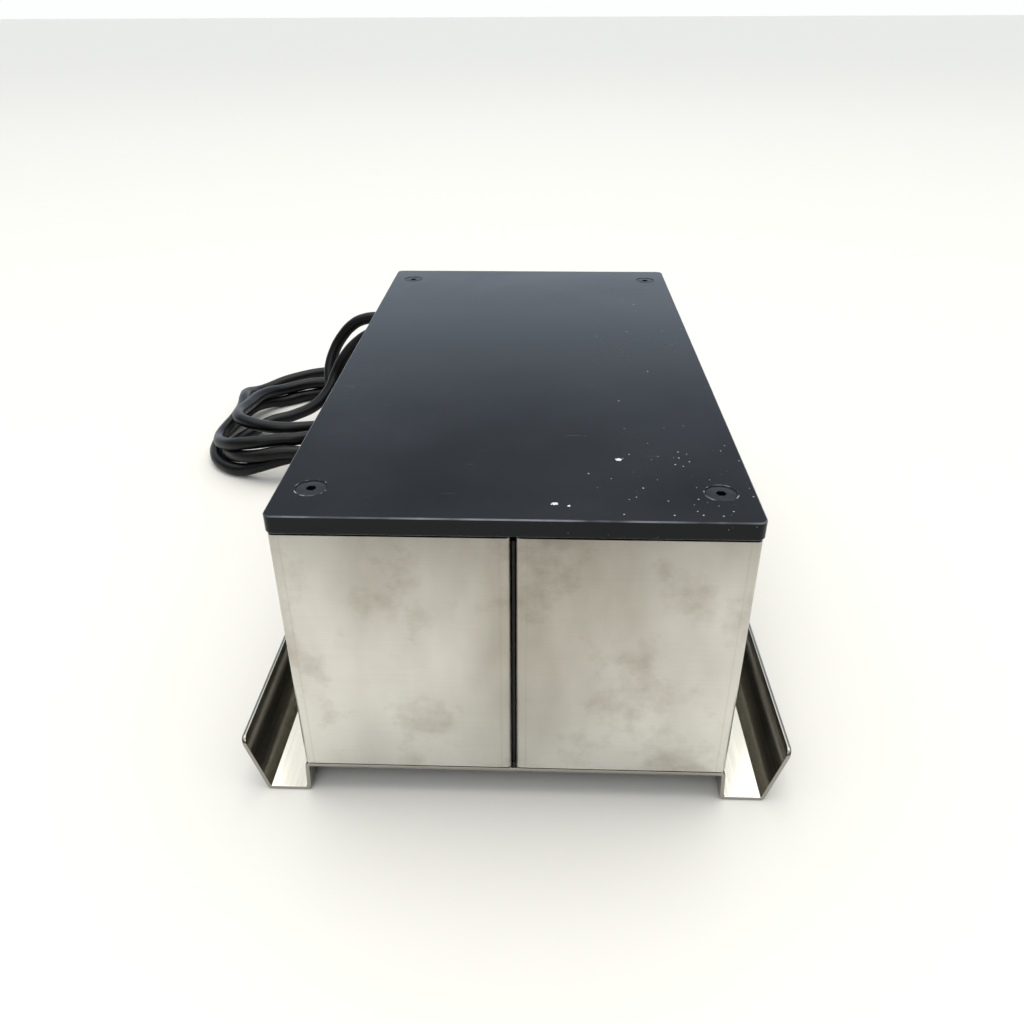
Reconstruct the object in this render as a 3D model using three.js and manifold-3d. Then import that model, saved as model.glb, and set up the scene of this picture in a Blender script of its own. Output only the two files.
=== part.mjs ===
// Orbital vortex mixer: a flat platform on four eccentric idlers, driven by a belt and an
// eccentric spindle inside a folded stainless housing. Millimetres, +Z up, front at -Y.
// The origin is on the standing surface, under the middle of the mixer without its cord.
import * as THREE from 'three';
import { mergeVertices } from 'three/addons/utils/BufferGeometryUtils.js';
import Module from 'manifold-3d';

// ---- driving dimensions ----
const GAP = 0.3; // between pieces that touch or are pressed together
const ORBIT_RADIUS = 1.5; // eccentricity of the spindle and of the idlers

const PLATFORM_WIDTH = 152.4;
const PLATFORM_LENGTH = 282.6;
const PLATFORM_THICKNESS = 6.35;
const PLATFORM_TOP = 118.2;
const PLATFORM_EDGE = 0.8; // chamfer
const PLATFORM_CORNER = 3;
const SCREW_X = 65; // platform screws and idlers, from the middle
const SCREW_Y = 123;

const HOUSING_WIDTH = 151.2;
const HOUSING_LENGTH = 277.9;
const COVER_THICKNESS = 1.2;
const COVER_BEND = 1.2; // inner radius
const COVER_GAP = 0.8; // running clearance under the platform
const GROOVE = 1.6; // between the two covers, at the middle of the front and the rear

const BASE_THICKNESS = 1.5;
const BASE_BEND = 1; // inner radius
const BASE_LENGTH = 277.6;
const DECK_TOP = 13.5;
const LEG_TOP_X = 75.2;
const LEG_FOOT_X = 75.8;
const FLANGE_FOLD_X = 90.5;
const FLANGE_TOP_X = 97.3;
const FLANGE_TOP_Z = 24.3;
const FLANGE_CORNER = 3;

const BRIDGE_TOP = 76; // top face of the inner bridge that carries the drive
const BRIDGE_THICKNESS = 3;
const MOTOR_Y = 78; // from the spindle
const CONTROL_Z = 64; // height of the cord, fuse, switch and knob on the rear panel
const KNOB_REACH = 16; // proud of the rear panel

const CORD_DIAMETER = 7.8;

// ---- worked out from them ----
const PLATFORM_UNDER = PLATFORM_TOP - PLATFORM_THICKNESS;
const SPINDLE_Y = -ORBIT_RADIUS; // the platform rests at the rear of its orbit
const REAR_Y = SPINDLE_Y + HOUSING_LENGTH / 2;
const FRONT_Y = SPINDLE_Y - HOUSING_LENGTH / 2;
const COVER_FOOT = DECK_TOP + GAP;
const COVER_TOP = PLATFORM_UNDER - COVER_GAP;
const MIDDLE_Y = (REAR_Y + KNOB_REACH - PLATFORM_LENGTH / 2) / 2;

// ---- finishes ----
const STAINLESS = { color: 0xbdb9ad, roughness: 0.35, metalness: 0.9 };
const BLACK_PLATE = { color: 0x2b2f38, roughness: 0.5, metalness: 0.3 };
const SCREW_STEEL = { color: 0x3a3d42, roughness: 0.4, metalness: 0.9 };
const BARE_STEEL = { color: 0x9a9c9e, roughness: 0.3, metalness: 1 };
const ALUMINIUM = { color: 0xb9bcc0, roughness: 0.45, metalness: 0.9 };
const BLACK_PLASTIC = { color: 0x1c1c1d, roughness: 0.5, metalness: 0 };
const RUBBER = { color: 0x1f1f1f, roughness: 0.6, metalness: 0 };
const BOARD_GREEN = { color: 0x1f5a3a, roughness: 0.5, metalness: 0 };
const NICKEL = { color: 0xc9c4b4, roughness: 0.25, metalness: 1 };

const wasm = await Module();
wasm.setup();
const mixer = new THREE.Group();

// ---- shape tools ----
function addPart(name, geometry, finish) {
  const mesh = new THREE.Mesh(geometry, new THREE.MeshStandardMaterial(finish));
  mesh.name = name;
  mixer.add(mesh);
}

function toSolid(geometry) {
  const bare = geometry.clone();
  bare.deleteAttribute('normal');
  bare.deleteAttribute('uv');
  const merged = mergeVertices(bare, 1e-4);
  const corners = merged.index.array;
  const triVerts = [];
  for (let i = 0; i < corners.length; i += 3) {
    const [a, b, c] = corners.slice(i, i + 3);
    if (a !== b && b !== c && c !== a) {
      triVerts.push(a, b, c);
    }
  }
  const vertProperties = new Float32Array(merged.attributes.position.array);
  const mesh = { numProp: 3, vertProperties, triVerts: new Uint32Array(triVerts) };
  return new wasm.Manifold(new wasm.Mesh(mesh));
}

function toGeometry(solid) {
  const mesh = solid.getMesh();
  const geometry = new THREE.BufferGeometry();
  geometry.setAttribute('position', new THREE.BufferAttribute(new Float32Array(mesh.vertProperties), 3));
  geometry.setIndex(new THREE.BufferAttribute(new Uint32Array(mesh.triVerts), 1));
  return geometry;
}

function cut(geometry, tools) {
  return toGeometry(tools.reduce((solid, tool) => solid.subtract(toSolid(tool)), toSolid(geometry)));
}

function join(geometry, others) {
  return toGeometry(others.reduce((solid, other) => solid.add(toSolid(other)), toSolid(geometry)));
}

function block([x0, x1], [y0, y1], [z0, z1]) {
  const box = new THREE.BoxGeometry(x1 - x0, y1 - y0, z1 - z0);
  return box.translate((x0 + x1) / 2, (y0 + y1) / 2, (z0 + z1) / 2);
}

function rod(radius, z0, z1, sides = 20) {
  const cylinder = new THREE.CylinderGeometry(radius, radius, z1 - z0, sides);
  return cylinder.rotateX(Math.PI / 2).translate(0, 0, (z0 + z1) / 2);
}

// A turned piece: its profile is [radius, height] from the bottom up, outside first.
function turned(profile, sides = 20) {
  const points = profile.map(([radius, height]) => new THREE.Vector2(radius, height));
  return new THREE.LatheGeometry(points, sides).rotateX(Math.PI / 2);
}

function ring(inner, outer, z0, z1, sides = 20) {
  return turned([[inner, z0], [outer, z0], [outer, z1], [inner, z1], [inner, z0]], sides);
}

// Turns a piece built along +Z so that it lies along +Y, at the given place on the rear panel.
function facingRear(geometry, x, z) {
  return geometry.rotateX(-Math.PI / 2).translate(x, 0, z);
}

function slab(shape, z0, z1, sides = 8) {
  const settings = { depth: z1 - z0, bevelEnabled: false, curveSegments: sides };
  return new THREE.ExtrudeGeometry(shape, settings).translate(0, 0, z0);
}

// Extrudes a section drawn in X and Z along Y.
function runAlongY(shape, y0, y1) {
  const settings = { depth: y1 - y0, bevelEnabled: false };
  return new THREE.ExtrudeGeometry(shape, settings).rotateX(Math.PI / 2).translate(0, y1, 0);
}

function outline(points) {
  return new THREE.Shape(points.map(([x, y]) => new THREE.Vector2(x, y)));
}

// Section of a folded sheet: the middle line of the sheet with its bends made round.
function foldedSection(corners, thickness, innerRadius, stepsPerBend = 3) {
  const points = corners.map(([x, y]) => new THREE.Vector2(x, y));
  const radius = innerRadius + thickness / 2;
  const left = [];
  const right = [];
  const mark = (point, direction) => {
    const side = new THREE.Vector2(-direction.y, direction.x).multiplyScalar(thickness / 2);
    left.push(point.clone().add(side));
    right.push(point.clone().sub(side));
  };
  const heading = (i) => points[i + 1].clone().sub(points[i]).normalize();
  mark(points[0], heading(0));
  for (let i = 1; i < points.length - 1; i += 1) {
    const before = heading(i - 1);
    const after = heading(i);
    const turn = Math.atan2(before.cross(after), before.dot(after));
    const setback = radius * Math.tan(Math.abs(turn) / 2);
    const start = points[i].clone().addScaledVector(before, -setback);
    const inward = new THREE.Vector2(-before.y, before.x).multiplyScalar(Math.sign(turn) * radius);
    const centre = start.clone().add(inward);
    for (let step = 0; step <= stepsPerBend; step += 1) {
      const angle = (turn * step) / stepsPerBend;
      const origin = new THREE.Vector2();
      const direction = before.clone().rotateAround(origin, angle);
      const spoke = inward.clone().negate().rotateAround(origin, angle);
      mark(centre.clone().add(spoke), direction);
    }
  }
  mark(points[points.length - 1], heading(points.length - 2));
  return new THREE.Shape([...left, ...right.reverse()]);
}

// Calls make(index, x, y) for the four corners of a rectangle about the spindle.
function atCorners(x, y, make) {
  [[-1, -1], [1, -1], [-1, 1], [1, 1]].forEach(([sideX, sideY], i) => {
    make(i + 1, sideX * x, SPINDLE_Y + sideY * y);
  });
}

// ---- base: one folded sheet with a raised deck, two feet and two leaning flanges ----
const BRIDGE_SCREW = { x: 58, y: 100, clear: 2.3 };
const COVER_SCREW = { x: 66, y: 60, clear: 2.3 };

function screwHoles(place, z0, z1) {
  const holes = [];
  atCorners(place.x, place.y, (i, x, y) => holes.push(rod(place.clear, z0, z1, 12).translate(x, y, 0)));
  return holes;
}

function flangeCorners() {
  const tools = [];
  const size = 2 * FLANGE_CORNER;
  for (const side of [-1, 1]) {
    for (const end of [-1, 1]) {
      const y = SPINDLE_Y + (end * BASE_LENGTH) / 2;
      const x = side * FLANGE_TOP_X;
      const round = rod(FLANGE_CORNER, -size, size, 20).rotateY(Math.PI / 2);
      round.translate(x, y - end * FLANGE_CORNER, FLANGE_TOP_Z + 0.3 - FLANGE_CORNER);
      const square = block([x - size, x + size], [-FLANGE_CORNER, FLANGE_CORNER], [0, size]);
      square.translate(0, y, FLANGE_TOP_Z + 0.3 - FLANGE_CORNER);
      tools.push(toGeometry(toSolid(square).subtract(toSolid(round))));
    }
  }
  return tools;
}

function makeBase() {
  const half = [
    [LEG_TOP_X, DECK_TOP - BASE_THICKNESS / 2],
    [LEG_FOOT_X, BASE_THICKNESS / 2],
    [FLANGE_FOLD_X, BASE_THICKNESS / 2],
    [FLANGE_TOP_X, FLANGE_TOP_Z],
  ];
  const corners = [...half.map(([x, z]) => [-x, z]).reverse(), ...half];
  const section = foldedSection(corners, BASE_THICKNESS, BASE_BEND);
  const sheet = runAlongY(section, SPINDLE_Y - BASE_LENGTH / 2, SPINDLE_Y + BASE_LENGTH / 2);
  const holes = [BRIDGE_SCREW, COVER_SCREW].flatMap((place) => screwHoles(place, 0, 20));
  addPart('base_stand', cut(sheet, [...holes, ...flangeCorners()]), STAINLESS);
}
makeBase();

// ---- covers: two folded halves that meet in a groove, with a strip behind each groove ----
const FLANGE_DEPTH = 9; // the covers' edges turn inward by this much
const TAB = { inner: 58, length: 20, thickness: 1.2 };
const JOINER = { thickness: 0.9, setBack: 3.4, depth: 6, screwZ: 62, screwSetBack: 6.2 };
const CORD_X = -40;
const FUSE_X = -18;
const SWITCH_X = 28;
const KNOB_X = 54;
const HOLE = { cord: 6.9, fuse: 6.6, pot: 4.2, joiner: 1.7 };
const SWITCH_OPENING = { width: 20, height: 13 };

function crossHole(y) {
  return rod(HOLE.joiner, -10, 10, 12).rotateY(Math.PI / 2).translate(0, y, JOINER.screwZ);
}

function rearHole(radius, x) {
  return facingRear(rod(radius, REAR_Y - 5, REAR_Y + 5), x, CONTROL_Z);
}

function makeCover(name, side, openings) {
  const sheetX = HOUSING_WIDTH / 2 - COVER_THICKNESS / 2;
  const flangeX = GROOVE / 2 + COVER_THICKNESS / 2;
  const frontY = FRONT_Y + COVER_THICKNESS / 2;
  const rearY = REAR_Y - COVER_THICKNESS / 2;
  const corners = [
    [flangeX, frontY + FLANGE_DEPTH],
    [flangeX, frontY],
    [sheetX, frontY],
    [sheetX, rearY],
    [flangeX, rearY],
    [flangeX, rearY - FLANGE_DEPTH],
  ];
  const section = foldedSection(corners.map(([x, y]) => [side * x, y]), COVER_THICKNESS, COVER_BEND);
  const tabs = [-1, 1].map((end) => {
    const y = SPINDLE_Y + end * COVER_SCREW.y;
    const reach = [side * TAB.inner, side * sheetX].sort((a, b) => a - b);
    return block(reach, [y - TAB.length / 2, y + TAB.length / 2], [COVER_FOOT, COVER_FOOT + TAB.thickness]);
  });
  const shell = join(slab(section, COVER_FOOT, COVER_TOP), tabs);
  const holes = screwHoles(COVER_SCREW, DECK_TOP, 20);
  holes.push(crossHole(FRONT_Y + JOINER.screwSetBack), crossHole(REAR_Y - JOINER.screwSetBack));
  addPart(name, cut(shell, [...holes, ...openings]), STAINLESS);
}

const switchOpening = block(
  [SWITCH_X - SWITCH_OPENING.width / 2, SWITCH_X + SWITCH_OPENING.width / 2],
  [REAR_Y - 3, REAR_Y + 3],
  [CONTROL_Z - SWITCH_OPENING.height / 2, CONTROL_Z + SWITCH_OPENING.height / 2],
);
makeCover('cover_left', -1, [rearHole(HOLE.cord, CORD_X), rearHole(HOLE.fuse, FUSE_X)]);
makeCover('cover_right', 1, [rearHole(HOLE.pot, KNOB_X), switchOpening]);

function makeJoiner(place, panelY, inward) {
  const half = JOINER.thickness / 2;
  const ends = [panelY + inward * JOINER.setBack, panelY + inward * (JOINER.setBack + JOINER.depth)];
  const strip = block([-half, half], ends.sort((a, b) => a - b), [COVER_FOOT, COVER_TOP - 3]);
  const screwY = panelY + inward * JOINER.screwSetBack;
  addPart(`${place}_joiner`, cut(strip, [crossHole(screwY)]), STAINLESS);
  const underHead = GROOVE / 2 + COVER_THICKNESS + GAP;
  const screw = turned([[0, -5], [1.4, -5], [1.4, underHead], [2.8, underHead], [2.8, 4.6], [0, 4.6]], 16);
  screw.rotateY(-Math.PI / 2).translate(0, screwY, JOINER.screwZ);
  addPart(`${place}_joiner_screw`, screw, SCREW_STEEL);
}
makeJoiner('front', FRONT_Y, 1);
makeJoiner('rear', REAR_Y, -1);

// ---- bridge: a folded aluminium table on the deck that carries the whole drive ----
const BRIDGE_LEG_X = 69.5;
const BRIDGE_FOOT_X = 52;
const BRIDGE_LENGTH = 263;
const IDLER_BEARING_HOLE = 6.3;
const SPINDLE_HOLE = 15;
const MOTOR_SHAFT_HOLE = 8;
const FLANGE_NOTCH = 6; // clears the covers' inward flanges at both ends

function makeBridge() {
  const half = [
    [BRIDGE_LEG_X, BRIDGE_TOP - BRIDGE_THICKNESS / 2],
    [BRIDGE_LEG_X, COVER_FOOT + BRIDGE_THICKNESS / 2],
    [BRIDGE_FOOT_X, COVER_FOOT + BRIDGE_THICKNESS / 2],
  ];
  const corners = [...half.map(([x, z]) => [-x, z]).reverse(), ...half];
  const section = foldedSection(corners, BRIDGE_THICKNESS, 1.5, 2);
  const sheet = runAlongY(section, SPINDLE_Y - BRIDGE_LENGTH / 2, SPINDLE_Y + BRIDGE_LENGTH / 2);
  const tools = screwHoles(BRIDGE_SCREW, DECK_TOP, 20);
  atCorners(SCREW_X, SCREW_Y, (i, x, y) => {
    tools.push(rod(IDLER_BEARING_HOLE, BRIDGE_TOP - 9, BRIDGE_TOP + 5, 14).translate(x, y, 0));
  });
  tools.push(rod(SPINDLE_HOLE, BRIDGE_TOP - 9, BRIDGE_TOP + 5).translate(0, SPINDLE_Y, 0));
  tools.push(rod(MOTOR_SHAFT_HOLE, BRIDGE_TOP - 9, BRIDGE_TOP + 5).translate(0, SPINDLE_Y + MOTOR_Y, 0));
  for (const side of [-1, 1]) {
    for (const end of [-1, 1]) {
      const y = SPINDLE_Y + end * COVER_SCREW.y;
      const reach = [side * 50, side * 73].sort((a, b) => a - b);
      tools.push(block(reach, [y - 13, y + 13], [DECK_TOP - 1, 26]));
    }
  }
  for (const end of [-1, 1]) {
    const y = SPINDLE_Y + (end * BRIDGE_LENGTH) / 2;
    tools.push(block([-6, 6], [y - FLANGE_NOTCH, y + FLANGE_NOTCH], [BRIDGE_TOP - 9, BRIDGE_TOP + 5]));
  }
  addPart('drive_bridge', cut(sheet, tools), ALUMINIUM);
}
makeBridge();

// Pan-head screws up through the deck: they hold the bridge's feet and the covers' tabs.
function makeDeckScrews(name, place) {
  const head = DECK_TOP - BASE_THICKNESS - GAP;
  atCorners(place.x, place.y, (i, x, y) => {
    const profile = [[0, head - 2.4], [3.6, head - 2.4], [4, head], [2, head], [2, 19.5], [0, 19.5]];
    addPart(`${name}_${i}`, turned(profile, 12).translate(x, y, 0), SCREW_STEEL);
  });
}
makeDeckScrews('bridge_screw', BRIDGE_SCREW);
makeDeckScrews('cover_screw', COVER_SCREW);

// ---- spindle and its housing under the bridge ----
const BORE = 11.3; // bearing seats
const HOUSING_TOP = BRIDGE_TOP - BRIDGE_THICKNESS - GAP;
const SHAFT_RADIUS = 4;
const PIN_RADIUS = 5;
const PULLEY = { bottom: 78, top: 88, lip: 1.3, lipHeight: 2 };
const CRANK = { bottom: 92.3, top: 96, radius: 17 };
const PIN_TOP = 108;

addPart('spindle_housing', turned([
  [BORE, 40], [17, 40], [17, 66], [28, 66], [28, HOUSING_TOP], [BORE, HOUSING_TOP],
  [BORE, 61.7], [9.5, 61.7], [9.5, 49.3], [BORE, 49.3], [BORE, 40],
], 24).translate(0, SPINDLE_Y, 0), ALUMINIUM);
addPart('spindle_bearing_lower', ring(4.3, 11, 41.8, 49).translate(0, SPINDLE_Y, 0), BARE_STEEL);
addPart('spindle_bearing_upper', ring(4.3, 11, 62, 69.2).translate(0, SPINDLE_Y, 0), BARE_STEEL);

function makeSpindle() {
  const shaft = turned([
    [0, 40], [SHAFT_RADIUS, 40], [SHAFT_RADIUS, CRANK.bottom], [CRANK.radius, CRANK.bottom],
    [CRANK.radius, CRANK.top], [0, CRANK.top],
  ], 28).translate(0, SPINDLE_Y, 0);
  const pin = rod(PIN_RADIUS, CRANK.top - 1, PIN_TOP).translate(0, SPINDLE_Y + ORBIT_RADIUS, 0);
  addPart('drive_spindle', join(shaft, [pin]), BARE_STEEL);
}
makeSpindle();

function makePulley(name, radius, bore, y) {
  const lip = radius + PULLEY.lipHeight;
  const low = PULLEY.bottom + PULLEY.lip;
  const high = PULLEY.top - PULLEY.lip;
  addPart(name, turned([
    [bore, PULLEY.bottom], [lip, PULLEY.bottom], [lip, low], [radius, low], [radius, high],
    [lip, high], [lip, PULLEY.top], [bore, PULLEY.top], [bore, PULLEY.bottom],
  ], 24).translate(0, y, 0), ALUMINIUM);
}
const SPINDLE_PULLEY_RADIUS = 24;
const MOTOR_PULLEY_RADIUS = 12; // half the other: the rotor turns twice as fast as the spindle
const MOTOR_SHAFT_RADIUS = 3;
makePulley('spindle_pulley', SPINDLE_PULLEY_RADIUS, SHAFT_RADIUS + GAP, SPINDLE_Y);

// The counterweight is a fan-shaped plate opposite the eccentric pin.
function makeCounterweight() {
  const from = (205 * Math.PI) / 180;
  const to = (335 * Math.PI) / 180;
  const fan = new THREE.Shape();
  fan.absarc(0, 0, 36, from, to, false);
  fan.absarc(0, 0, 10, to, from + 2 * Math.PI, false);
  fan.closePath();
  fan.holes.push(new THREE.Path().absarc(0, 0, SHAFT_RADIUS + GAP, 0, 2 * Math.PI, true));
  addPart('counterweight', slab(fan, 88.6, 92, 10).translate(0, SPINDLE_Y, 0), BARE_STEEL);
}
makeCounterweight();

// ---- motor, its pulley and the belt ----
const MOTOR_CENTRE_Y = SPINDLE_Y + MOTOR_Y;
addPart('motor_body', turned([
  [0, 24], [26, 24], [28, 26], [28, HOUSING_TOP], [3.5, HOUSING_TOP], [3.5, 30], [0, 30],
], 32).translate(0, MOTOR_CENTRE_Y, 0), BLACK_PLASTIC);
addPart('motor_shaft', rod(MOTOR_SHAFT_RADIUS, 31, 90, 16).translate(0, MOTOR_CENTRE_Y, 0), BARE_STEEL);
makePulley('motor_pulley', MOTOR_PULLEY_RADIUS, MOTOR_SHAFT_RADIUS + GAP, MOTOR_CENTRE_Y);

// One run round both pulleys: arcs joined by their outer tangents.
function beltLoop(allowance, LoopType) {
  const big = SPINDLE_PULLEY_RADIUS + allowance;
  const small = MOTOR_PULLEY_RADIUS + allowance;
  const lean = Math.asin((big - small) / MOTOR_Y);
  const loop = new LoopType();
  loop.absarc(0, MOTOR_Y, small, lean, Math.PI - lean, false);
  loop.absarc(0, 0, big, Math.PI - lean, 2 * Math.PI + lean, false);
  loop.closePath();
  return loop;
}

function makeBelt() {
  const loop = beltLoop(GAP + 1.4, THREE.Shape);
  loop.holes.push(beltLoop(GAP, THREE.Path));
  addPart('drive_belt', slab(loop, 80, 86, 10).translate(0, SPINDLE_Y, 0), RUBBER);
}
makeBelt();

// ---- idlers: four small cranks that keep the platform from turning ----
const IDLER = { radius: 3, web: 6.5, webBottom: 77, webTop: 81, top: 105 };

function makeIdlers() {
  atCorners(SCREW_X, SCREW_Y, (i, x, y) => {
    const journal = turned([
      [0, 68], [IDLER.radius, 68], [IDLER.radius, IDLER.webBottom], [IDLER.web, IDLER.webBottom],
      [IDLER.web, IDLER.webTop], [0, IDLER.webTop],
    ], 16);
    const pin = rod(IDLER.radius, IDLER.webTop - 1, IDLER.top, 16).translate(0, ORBIT_RADIUS, 0);
    addPart(`idler_crank_${i}`, join(journal, [pin]).translate(x, y, 0), BARE_STEEL);
    const bearing = ring(IDLER.radius + GAP, IDLER_BEARING_HOLE - GAP, 72.6, 76.6, 16);
    addPart(`idler_bearing_${i}`, bearing.translate(x, y, 0), BARE_STEEL);
  });
}
makeIdlers();

// ---- platform with its hub, cups and screws ----
const HEAD = { radius: 4.85, top: PLATFORM_TOP - 0.15, shank: 2.5, height: 2.35, socket: 1.5 };
const CUP_TOP = PLATFORM_UNDER - GAP;

function screwRecess() {
  const throat = HEAD.shank + GAP;
  const mouth = HEAD.radius + GAP;
  const bottom = HEAD.top - HEAD.height;
  return turned([
    [0, PLATFORM_UNDER - 2], [throat, PLATFORM_UNDER - 2], [throat, bottom],
    [mouth, HEAD.top], [mouth, PLATFORM_TOP + 2], [0, PLATFORM_TOP + 2],
  ], 16);
}

function makePlatform() {
  const inset = PLATFORM_EDGE;
  const x = PLATFORM_WIDTH / 2 - inset;
  const y = PLATFORM_LENGTH / 2 - inset;
  const r = PLATFORM_CORNER - inset;
  const plan = new THREE.Shape();
  plan.absarc(x - r, y - r, r, 0, Math.PI / 2);
  plan.absarc(r - x, y - r, r, Math.PI / 2, Math.PI);
  plan.absarc(r - x, r - y, r, Math.PI, 1.5 * Math.PI);
  plan.absarc(x - r, r - y, r, 1.5 * Math.PI, 2 * Math.PI);
  plan.closePath();
  const plate = new THREE.ExtrudeGeometry(plan, {
    depth: PLATFORM_THICKNESS - 2 * inset,
    bevelThickness: inset,
    bevelSize: inset,
    bevelSegments: 1,
    curveSegments: 5,
  }).translate(0, 0, PLATFORM_UNDER + inset);
  const recesses = [];
  atCorners(SCREW_X, SCREW_Y, (i, cornerX, cornerY) => {
    recesses.push(screwRecess().translate(cornerX, cornerY + ORBIT_RADIUS, 0));
  });
  addPart('platform', cut(plate, recesses), BLACK_PLATE);
}
makePlatform();

function makePlatformCorners() {
  const bottom = HEAD.top - HEAD.height;
  atCorners(SCREW_X, SCREW_Y, (i, x, y) => {
    const screw = turned([
      [0, 108.3], [HEAD.shank, 108.3], [HEAD.shank, bottom], [HEAD.radius, HEAD.top], [0, HEAD.top],
    ], 16);
    const socket = rod(HEAD.socket / Math.cos(Math.PI / 6), HEAD.top - 2, HEAD.top + 2, 6);
    addPart(`platform_screw_${i}`, cut(screw, [socket]).translate(x, y + ORBIT_RADIUS, 0), SCREW_STEEL);
    const cup = turned([
      [IDLER.radius + 0.4, 88], [7, 88], [7, CUP_TOP], [HEAD.shank + GAP, CUP_TOP],
      [HEAD.shank + GAP, 107.8], [IDLER.radius + 0.4, 107.8], [IDLER.radius + 0.4, 88],
    ], 14);
    addPart(`idler_cup_${i}`, cup.translate(x, y + ORBIT_RADIUS, 0), ALUMINIUM);
  });
}
makePlatformCorners();

addPart('hub_cup', turned([
  [13.3, 98.5], [17, 98.5], [17, 108.8], [24, 108.8], [24, CUP_TOP], [0, CUP_TOP], [0, 109.5],
  [13.3, 109.5], [13.3, 98.5],
], 24), ALUMINIUM);
addPart('hub_bearing', ring(PIN_RADIUS + GAP, 13, 99.5, 107.5), BARE_STEEL);

// ---- control board on a folded bracket ----
function makeControls() {
  const half = [[40, COVER_FOOT + 0.6], [40, 23.1], [50, 23.1]];
  const corners = [...half.map(([x, z]) => [-x, z]).reverse(), ...half];
  const section = foldedSection(corners, 1.2, 1.2, 2);
  addPart('board_bracket', runAlongY(section, -110, -44), ALUMINIUM);
  const board = block([-46, 46], [-112, -42], [24, 25.6]);
  const fitted = [
    rod(6, 25, 44, 16).translate(-30, -98, 0),
    rod(6, 25, 44, 16).translate(-15, -98, 0),
    block([2, 30], [-108, -86], [25, 45]),
    block([-38, -30], [-84, -48], [25, 50]),
    block([-12, 28], [-52, -45], [25, 36]),
  ];
  addPart('control_board', join(board, fitted), BOARD_GREEN);
}
makeControls();

// ---- rear panel: fuse holder, switch, speed control ----
addPart('fuse_holder', facingRear(turned([
  [0, 112], [5.5, 112], [6.3, 118], [6.3, REAR_Y + GAP], [8.5, REAR_Y + GAP], [8.5, REAR_Y + 3],
  [6.6, REAR_Y + 4], [6.6, REAR_Y + 11], [0, REAR_Y + 11],
]), FUSE_X, CONTROL_Z), BLACK_PLASTIC);

const ROCKER = { pivotY: REAR_Y - 2.45, halfWidth: 7.2, halfHeight: 4.1, tilt: (10 * Math.PI) / 180 };

function makeSwitch() {
  const x = (halfWidth) => [SWITCH_X - halfWidth, SWITCH_X + halfWidth];
  const z = (halfHeight) => [CONTROL_Z - halfHeight, CONTROL_Z + halfHeight];
  const body = block(x(9.7), [116, REAR_Y + GAP + 0.1], z(6.2));
  const bezel = block(x(11.5), [REAR_Y + GAP, REAR_Y + 2], z(8));
  const cavity = block(x(8.4), [ROCKER.pivotY - 5.6, REAR_Y + 5], z(4.7));
  addPart('switch_body', cut(join(body, [bezel]), [cavity]), BLACK_PLASTIC);
  const w = ROCKER.halfWidth;
  const side = outline([[-w, 4.6], [-w, 1], [-4, -3], [4, -3], [w, 1], [w, 4.6], [0, 3.6]]);
  const rocker = slab(side, -ROCKER.halfHeight, ROCKER.halfHeight);
  rocker.rotateZ(-ROCKER.tilt).translate(SWITCH_X, ROCKER.pivotY, CONTROL_Z);
  addPart('power_rocker', rocker, BLACK_PLASTIC);
}
makeSwitch();

function makeSpeedControl() {
  const depth = [REAR_Y - 9.5, REAR_Y - 1.5];
  const body = block([KNOB_X - 8, KNOB_X + 8], depth, [CONTROL_Z - 8, CONTROL_Z + 8]);
  const bushing = facingRear(rod(3.9, REAR_Y - 2, REAR_Y + 2.2), KNOB_X, CONTROL_Z);
  const bore = facingRear(rod(3.3, REAR_Y - 7, REAR_Y + 4), KNOB_X, CONTROL_Z);
  addPart('speed_pot', cut(join(body, [bushing]), [bore]), BLACK_PLASTIC);
  const face = REAR_Y + KNOB_REACH;
  addPart('speed_knob', facingRear(turned([
    [0, REAR_Y - 6.5], [3, REAR_Y - 6.5], [3, REAR_Y + 2.6], [11, REAR_Y + 2.6], [11, REAR_Y + 5],
    [9.3, REAR_Y + 6], [8.8, face - 1], [7.8, face], [0, face],
  ], 28), KNOB_X, CONTROL_Z), BLACK_PLASTIC);
}
makeSpeedControl();

// ---- mains cord: out of the strain relief, down to a loose coil beside the base, and back up
// over itself to the plug behind the housing ----
const RELIEF_END = REAR_Y + 27.5;
const LEAD_ROUTE = [
  [CORD_X, RELIEF_END + GAP, CONTROL_Z], [-40.6, 176, 64.6], [-45, 188, 65.6], [-54, 197, 66.2],
  [-65.7, 203.6, 67.9], [-79.1, 206, 69], [-91.5, 203.8, 68], [-103.7, 199.9, 62.6],
  [-118.2, 200.7, 53.3], [-128.6, 197.3, 41.8], [-133.2, 195.3, 33.2], [-135.5, 193, 28.5],
];
const TAIL_ROUTE = [
  [-139.9, 203.8, 27], [-137.4, 214.7, 42.8], [-130.8, 217.6, 53.1], [-123.7, 217.2, 60.3],
  [-116.6, 216.4, 64.4], [-102.5, 213.4, 67], [-90, 213, 64.6], [-79, 216, 59],
  [-69.5, 219.5, 51], [-60, 223, 42], [-50, 226.5, 31.5], [-38, 229.5, 22.5],
  [-24, 231.5, 16], [-10, 232, 13.2], [4, 232, 12.6],
];
const COIL = { x: -158, y: 186, halfWidth: 53, halfLength: 90, bottom: 0.2, top: 24 };
const PLUG = { x: 4.3, y: 232, z: 12.6 };

addPart('strain_relief', facingRear(turned([
  [0, 131.5], [8.4, 131.5], [8.4, REAR_Y - COVER_THICKNESS - GAP], [6.6, REAR_Y - COVER_THICKNESS - GAP],
  [6.6, REAR_Y + GAP], [8, REAR_Y + GAP], [8, REAR_Y + 3], [6.5, REAR_Y + 4], [4.9, RELIEF_END],
  [0, RELIEF_END],
]), CORD_X, CONTROL_Z), RUBBER);

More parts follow.
